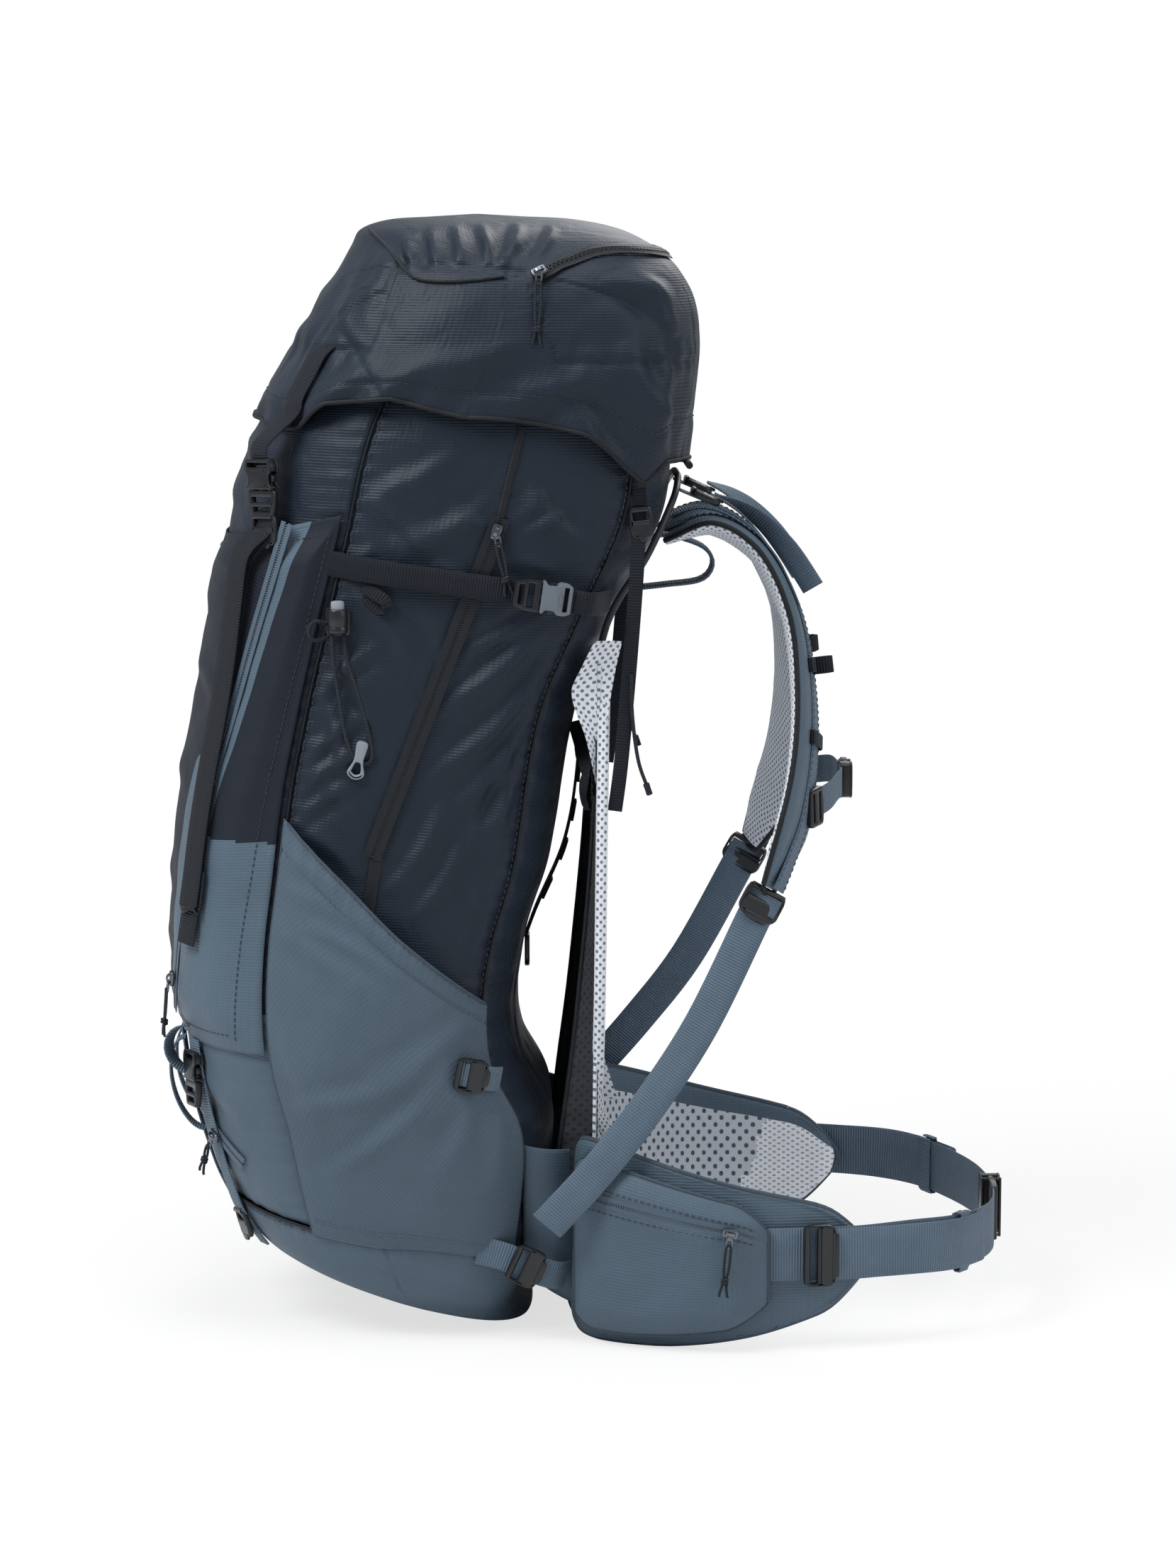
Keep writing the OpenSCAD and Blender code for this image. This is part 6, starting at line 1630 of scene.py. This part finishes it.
sag = folds(u * 170, v * 90, [(10, 20, 90, 34, 8, 1.2), (60, 70, 150, 58, 7, 1.2),
                              (120, 20, 165, 60, 8, 1.2)]) + slack(u * 170, v * 90, 0.8, 81)
zip_row = np.exp(-((v - ZIP_LEVEL) * 95 / 3)**2)
pouch_front = pouch_skin(u, v, FIN_POCKET_D + sag * np.sin(np.pi * u) * np.sin(np.pi * v) - 1.0 * zip_row)
pouch_shape = cushion(pouch_front, pouch_skin(u, v, 0 * u))
c1 = np.linspace(0.0, 1, 60)
round_u = np.concatenate([c1, 0 * c1[1:] + 1, c1[::-1][1:], 0 * c1[1:-1]])
round_v = np.concatenate([0 * c1, c1[1:], 0 * c1[1:] + 1, c1[::-1][1:-1]])
rim = pouch_skin(round_u, round_v, 13.4 + 0 * round_u)
fin_piping = swept(np.vstack([rim, rim[:1]]), (0.3, 0.9, 0.2), round_section(1.1))
zc = np.linspace(0.05, 0.95, 60)
pocket_zip = pouch_skin(zc, 0 * zc + ZIP_LEVEL, FIN_POCKET_D - 0.2 + 0 * zc)
fz_out = fin_out(mix(P0, P1, zc))
fin_zip_tape, fin_zip_coil = zipper(pocket_zip, (0.0, 0.0, -1.0), 9)
pocket_stitch = [stitches(pouch_skin(zc, 0 * zc + k, FIN_POCKET_D + 0.3 + 0 * zc), fz_out) for k in (0.735, 0.865)]
sp, sq = (pouch_skin(np.float64(k), np.float64(ZIP_LEVEL), np.float64(FIN_POCKET_D + 0.6)) for k in (0.86, 0.6))
grid_u, grid_v = (np.tile(k.ravel(), 2) for k in np.broadcast_arrays(u, v))
inner_face = np.arange(grid_u.size) >= grid_u.size // 2
pouch_held = inner_face | (np.minimum.reduce([grid_u, 1 - grid_u, grid_v, 1 - grid_v]) < 0.03) \
    | (np.abs(grid_v - ZIP_LEVEL) < 0.09)
for name, turn in (("right", lambda shape: shape), ("left", mirrored)):
    body = "hip_" + name
    fin_cloth = piece("fin_pad_" + name, body, turn(fin_shape), [slate_ripstop, grey_mesh, fine_mesh],
                      ["fin_" + name], marks=fin_marks, smooth=70)
    inflate(fin_cloth, (np.tile(np.abs(q[0]) < 0.2, rows_n) | (np.repeat(s[:, 0], cols_n) < 0.03)), 2.0)
    piece("fin_binding_" + name, body, turn(joined(*fin_binding)), slate_binding)
    pocket_cloth = piece("fin_pocket_cloth_" + name, body, turn(pouch_shape), slate_ripstop, ["fin_pocket_" + name],
                         smooth=70)
    inflate(pocket_cloth, pouch_held, 2.5)
    piece("fin_pocket_piping_" + name, body, turn(fin_piping), slate_binding)
    piece("fin_zip_tape_" + name, body, turn(fin_zip_tape), slate_tape, smooth=50)
    piece("fin_zip_coil_" + name, body, turn(fin_zip_coil), slate_coil, smooth=30)
    piece("fin_pocket_stitching_" + name, body, turn(joined(*pocket_stitch)), dark_thread)
    dressed_slider("fin_slider_" + name, sp + fin_out(np.array(0.7)) * 1.6, sp - sq, fin_out(np.array(0.68)),
                   (0.05, -0.12, -1), name == "left", 44)

HIP_Y, HIP_Z, HIP_H = 424, 60, 15
BELT = [(144, 352, 68), (124, 382, 66), (92, 404, 63), (56, 418, 61)]


def belt_root(s):
    """Middle of the belt's webbing where it lies on the fin."""
    s = np.asarray(s, float)
    return fin_mid(s) + fin_out(s) * (FIN_T / 2 + 0.8 + WEB_T / 2) + (0, 0, 68)


belt = lambda end_x: strap([belt_root(k) for k in (0.80, 0.84, 0.91, 0.98)] + [pt(*q) for q in BELT]
                           + [pt(end_x, HIP_Y, HIP_Z)], (0, 0, 1), BELT_W)
fold_back = strap([belt_root(0.90) + fin_out(0.9) * 6, pt(152, 352, 68), pt(131, 384, 66), pt(98, 407, 64),
                   pt(97, 403.5, 64), pt(100, 402.5, 64)], (0, 0, 1), BELT_W - 2)
keeper_at, keeper_x = pt(118, 389, 65.5), unit((-0.85, 0.55, -0.05))
keeper_o = unit((0.55, 0.85, 0))
keeper = strap([keeper_at + (0, 0, 20.5), keeper_at + (0, 0, 20) + keeper_o * 3.4, keeper_at + keeper_o * 3.8,
                keeper_at - (0, 0, 20) + keeper_o * 3.4,
                keeper_at - (0, 0, 21), keeper_at - (0, 0, 20) - keeper_o * 3.4, keeper_at - keeper_o * 3.6,
                keeper_at + (0, 0, 20) - keeper_o * 3.4], keeper_x, 13, t=1.2)
lock = placed(ladder_lock(BELT_W, 6), belt_root(0.9) + fin_out(0.9) * (WEB_T / 2 + 0.8 + 3),
              fin_mid(0.95) - fin_mid(0.85), fin_out(0.9))
piece("belt_strap_right", "hip_right", joined(belt(PLUG_L - 6), fold_back, keeper), slate_webbing,
      ["belt_webbing_right"])
piece("belt_strap_left", "hip_left", mirrored(joined(belt(SOCKET_L - 5), fold_back, keeper)), slate_webbing,
      ["belt_webbing_left"])
hip = lambda shape: placed(shape, (0, HIP_Y, HIP_Z), (1, 0, 0), (0, 1, 0))
moulded("hip_plug_body", "hip_right", joined(hip(plug(BELT_W, 3.5)), lock), ["hip_buckle_plug"])
moulded("hip_socket_body", "hip_left", joined(hip(socket(BELT_W, HIP_H)), mirrored(lock)), ["hip_buckle_socket"])

# Stabiliser strap from the bag's foot through its ladder lock to the fin
stab = strap([on_side(48, 66, 1.5), (142.5, 64, 62), (142.5, 77, 57), (142, 90, 51), (137, 103, 46), (126, 110, 44)],
             (0, 0.3, 1), STRAP_W)
piece("stabiliser_webbing", "bag", both(stab), slate_webbing)
locks = joined(placed(ladder_lock(STRAP_W + 2, 4.6), pt(144.5, 82, 54.5), (0, 0.9, -0.42), (1, 0, 0)),
               placed(ladder_lock(STRAP_W - 2, 4.6), on_side(44, 194, 14.5), (-0.15, 1, -0.2), (1, 0, 0)))
moulded("side_foot_locks", "bag", both(locks))
stub = strap([on_side(34, 196, 11), on_side(44, 194, 15), on_side(58, 190, 13), on_side(64, 188, 9)], (0, 0.15, 1),
             STRAP_W - 3)
piece("pocket_lock_webbing", "bag", both(stub), slate_webbing)

# The collar's lock keeps its frame shape, with its edges eased
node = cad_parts["collar_cord_lock"]
node.data.materials.clear()
node.data.materials.append(black_acetal)
weld = node.modifiers.new("weld", "WELD")
weld.merge_threshold = 0.02 * MM
bevel = node.modifiers.new("eased", "BEVEL")
bevel.width, bevel.segments, bevel.limit_method, bevel.angle_limit = 1.2 * MM, 3, "ANGLE", math.radians(35)

# ---- Floor and light ----

ground = bpy.data.meshes.new("floor")
ground.from_pydata([(x, y, -0.0005) for x, y in ((-30, -30), (30, -30), (30, 30), (-30, 30))], [], [(0, 1, 2, 3)])
floor = bpy.data.objects.new("floor", ground)
scene.collection.objects.link(floor)
# Painted plywood: pale and matt; seen straight on it is lifted to white but keeps the shadow
paint, t, s = begin("matt white paint, rolled")
s.inputs["Base Color"].default_value = (0.82, 0.82, 0.82, 1)
s.inputs["Roughness"].default_value = 0.9
seen = add(t, "LightPath")
away = add(t, "VectorMath", {0: add(t, "TexCoord").outputs["Object"]}, operation="LENGTH").outputs["Value"]
share = add(t, "MapRange", {0: away, 1: 0.45, 2: 1.3, 3: 0.70, 4: 1.0}, interpolation_type="SMOOTHSTEP").outputs[0]
glow = add(t, "Emission", {"Color": (1, 1, 1, 1), "Strength": 1.0})
part = add(t, "Math", {0: seen.outputs["Is Camera Ray"], 1: share}, operation="MULTIPLY")
blend = add(t, "MixShader", {0: part.outputs[0], 1: s.outputs[0], 2: glow.outputs[0]})
t.links.new(blend.outputs[0], t.nodes["Material Output"].inputs["Surface"])
floor.data.materials.append(paint)

world = bpy.data.worlds.new("studio")
scene.world = world
world.use_nodes = True
t = world.node_tree
t.nodes.clear()
seen = add(t, "LightPath")
room = add(t, "Background", {"Color": (0.93, 0.96, 1, 1), "Strength": 0.40})
white = add(t, "Background", {"Color": (1, 1, 1, 1), "Strength": 1.0})
t.links.new(add(t, "MixShader", {0: seen.outputs["Is Camera Ray"], 1: room.outputs[0],
                                 2: white.outputs[0]}).outputs[0],
            add(t, "OutputWorld").inputs["Surface"])


def lamp(name, azimuth, elevation, distance, size, power):
    """Soft square lamp that faces the pack's middle."""
    a, e = math.radians(azimuth), math.radians(elevation)
    way = Vector((math.sin(a) * math.cos(e), -math.cos(a) * math.cos(e), math.sin(e)))
    light = bpy.data.lights.new(name, "AREA")
    light.shape, light.size, light.energy = "SQUARE", size, power
    obj = bpy.data.objects.new(name, light)
    obj.location = Vector((0, 0.1, 0.4)) + way * distance
    obj.rotation_euler = way.to_track_quat("Z", "Y").to_euler()
    scene.collection.objects.link(obj)


lamp("key", 32, 46, 2.6, 1.2, 56)
lamp("fill", 150, 26, 2.8, 1.8, 20)
lamp("top", 95, 78, 2.4, 1.4, 24)
lamp("back", 250, 35, 2.8, 1.6, 24)
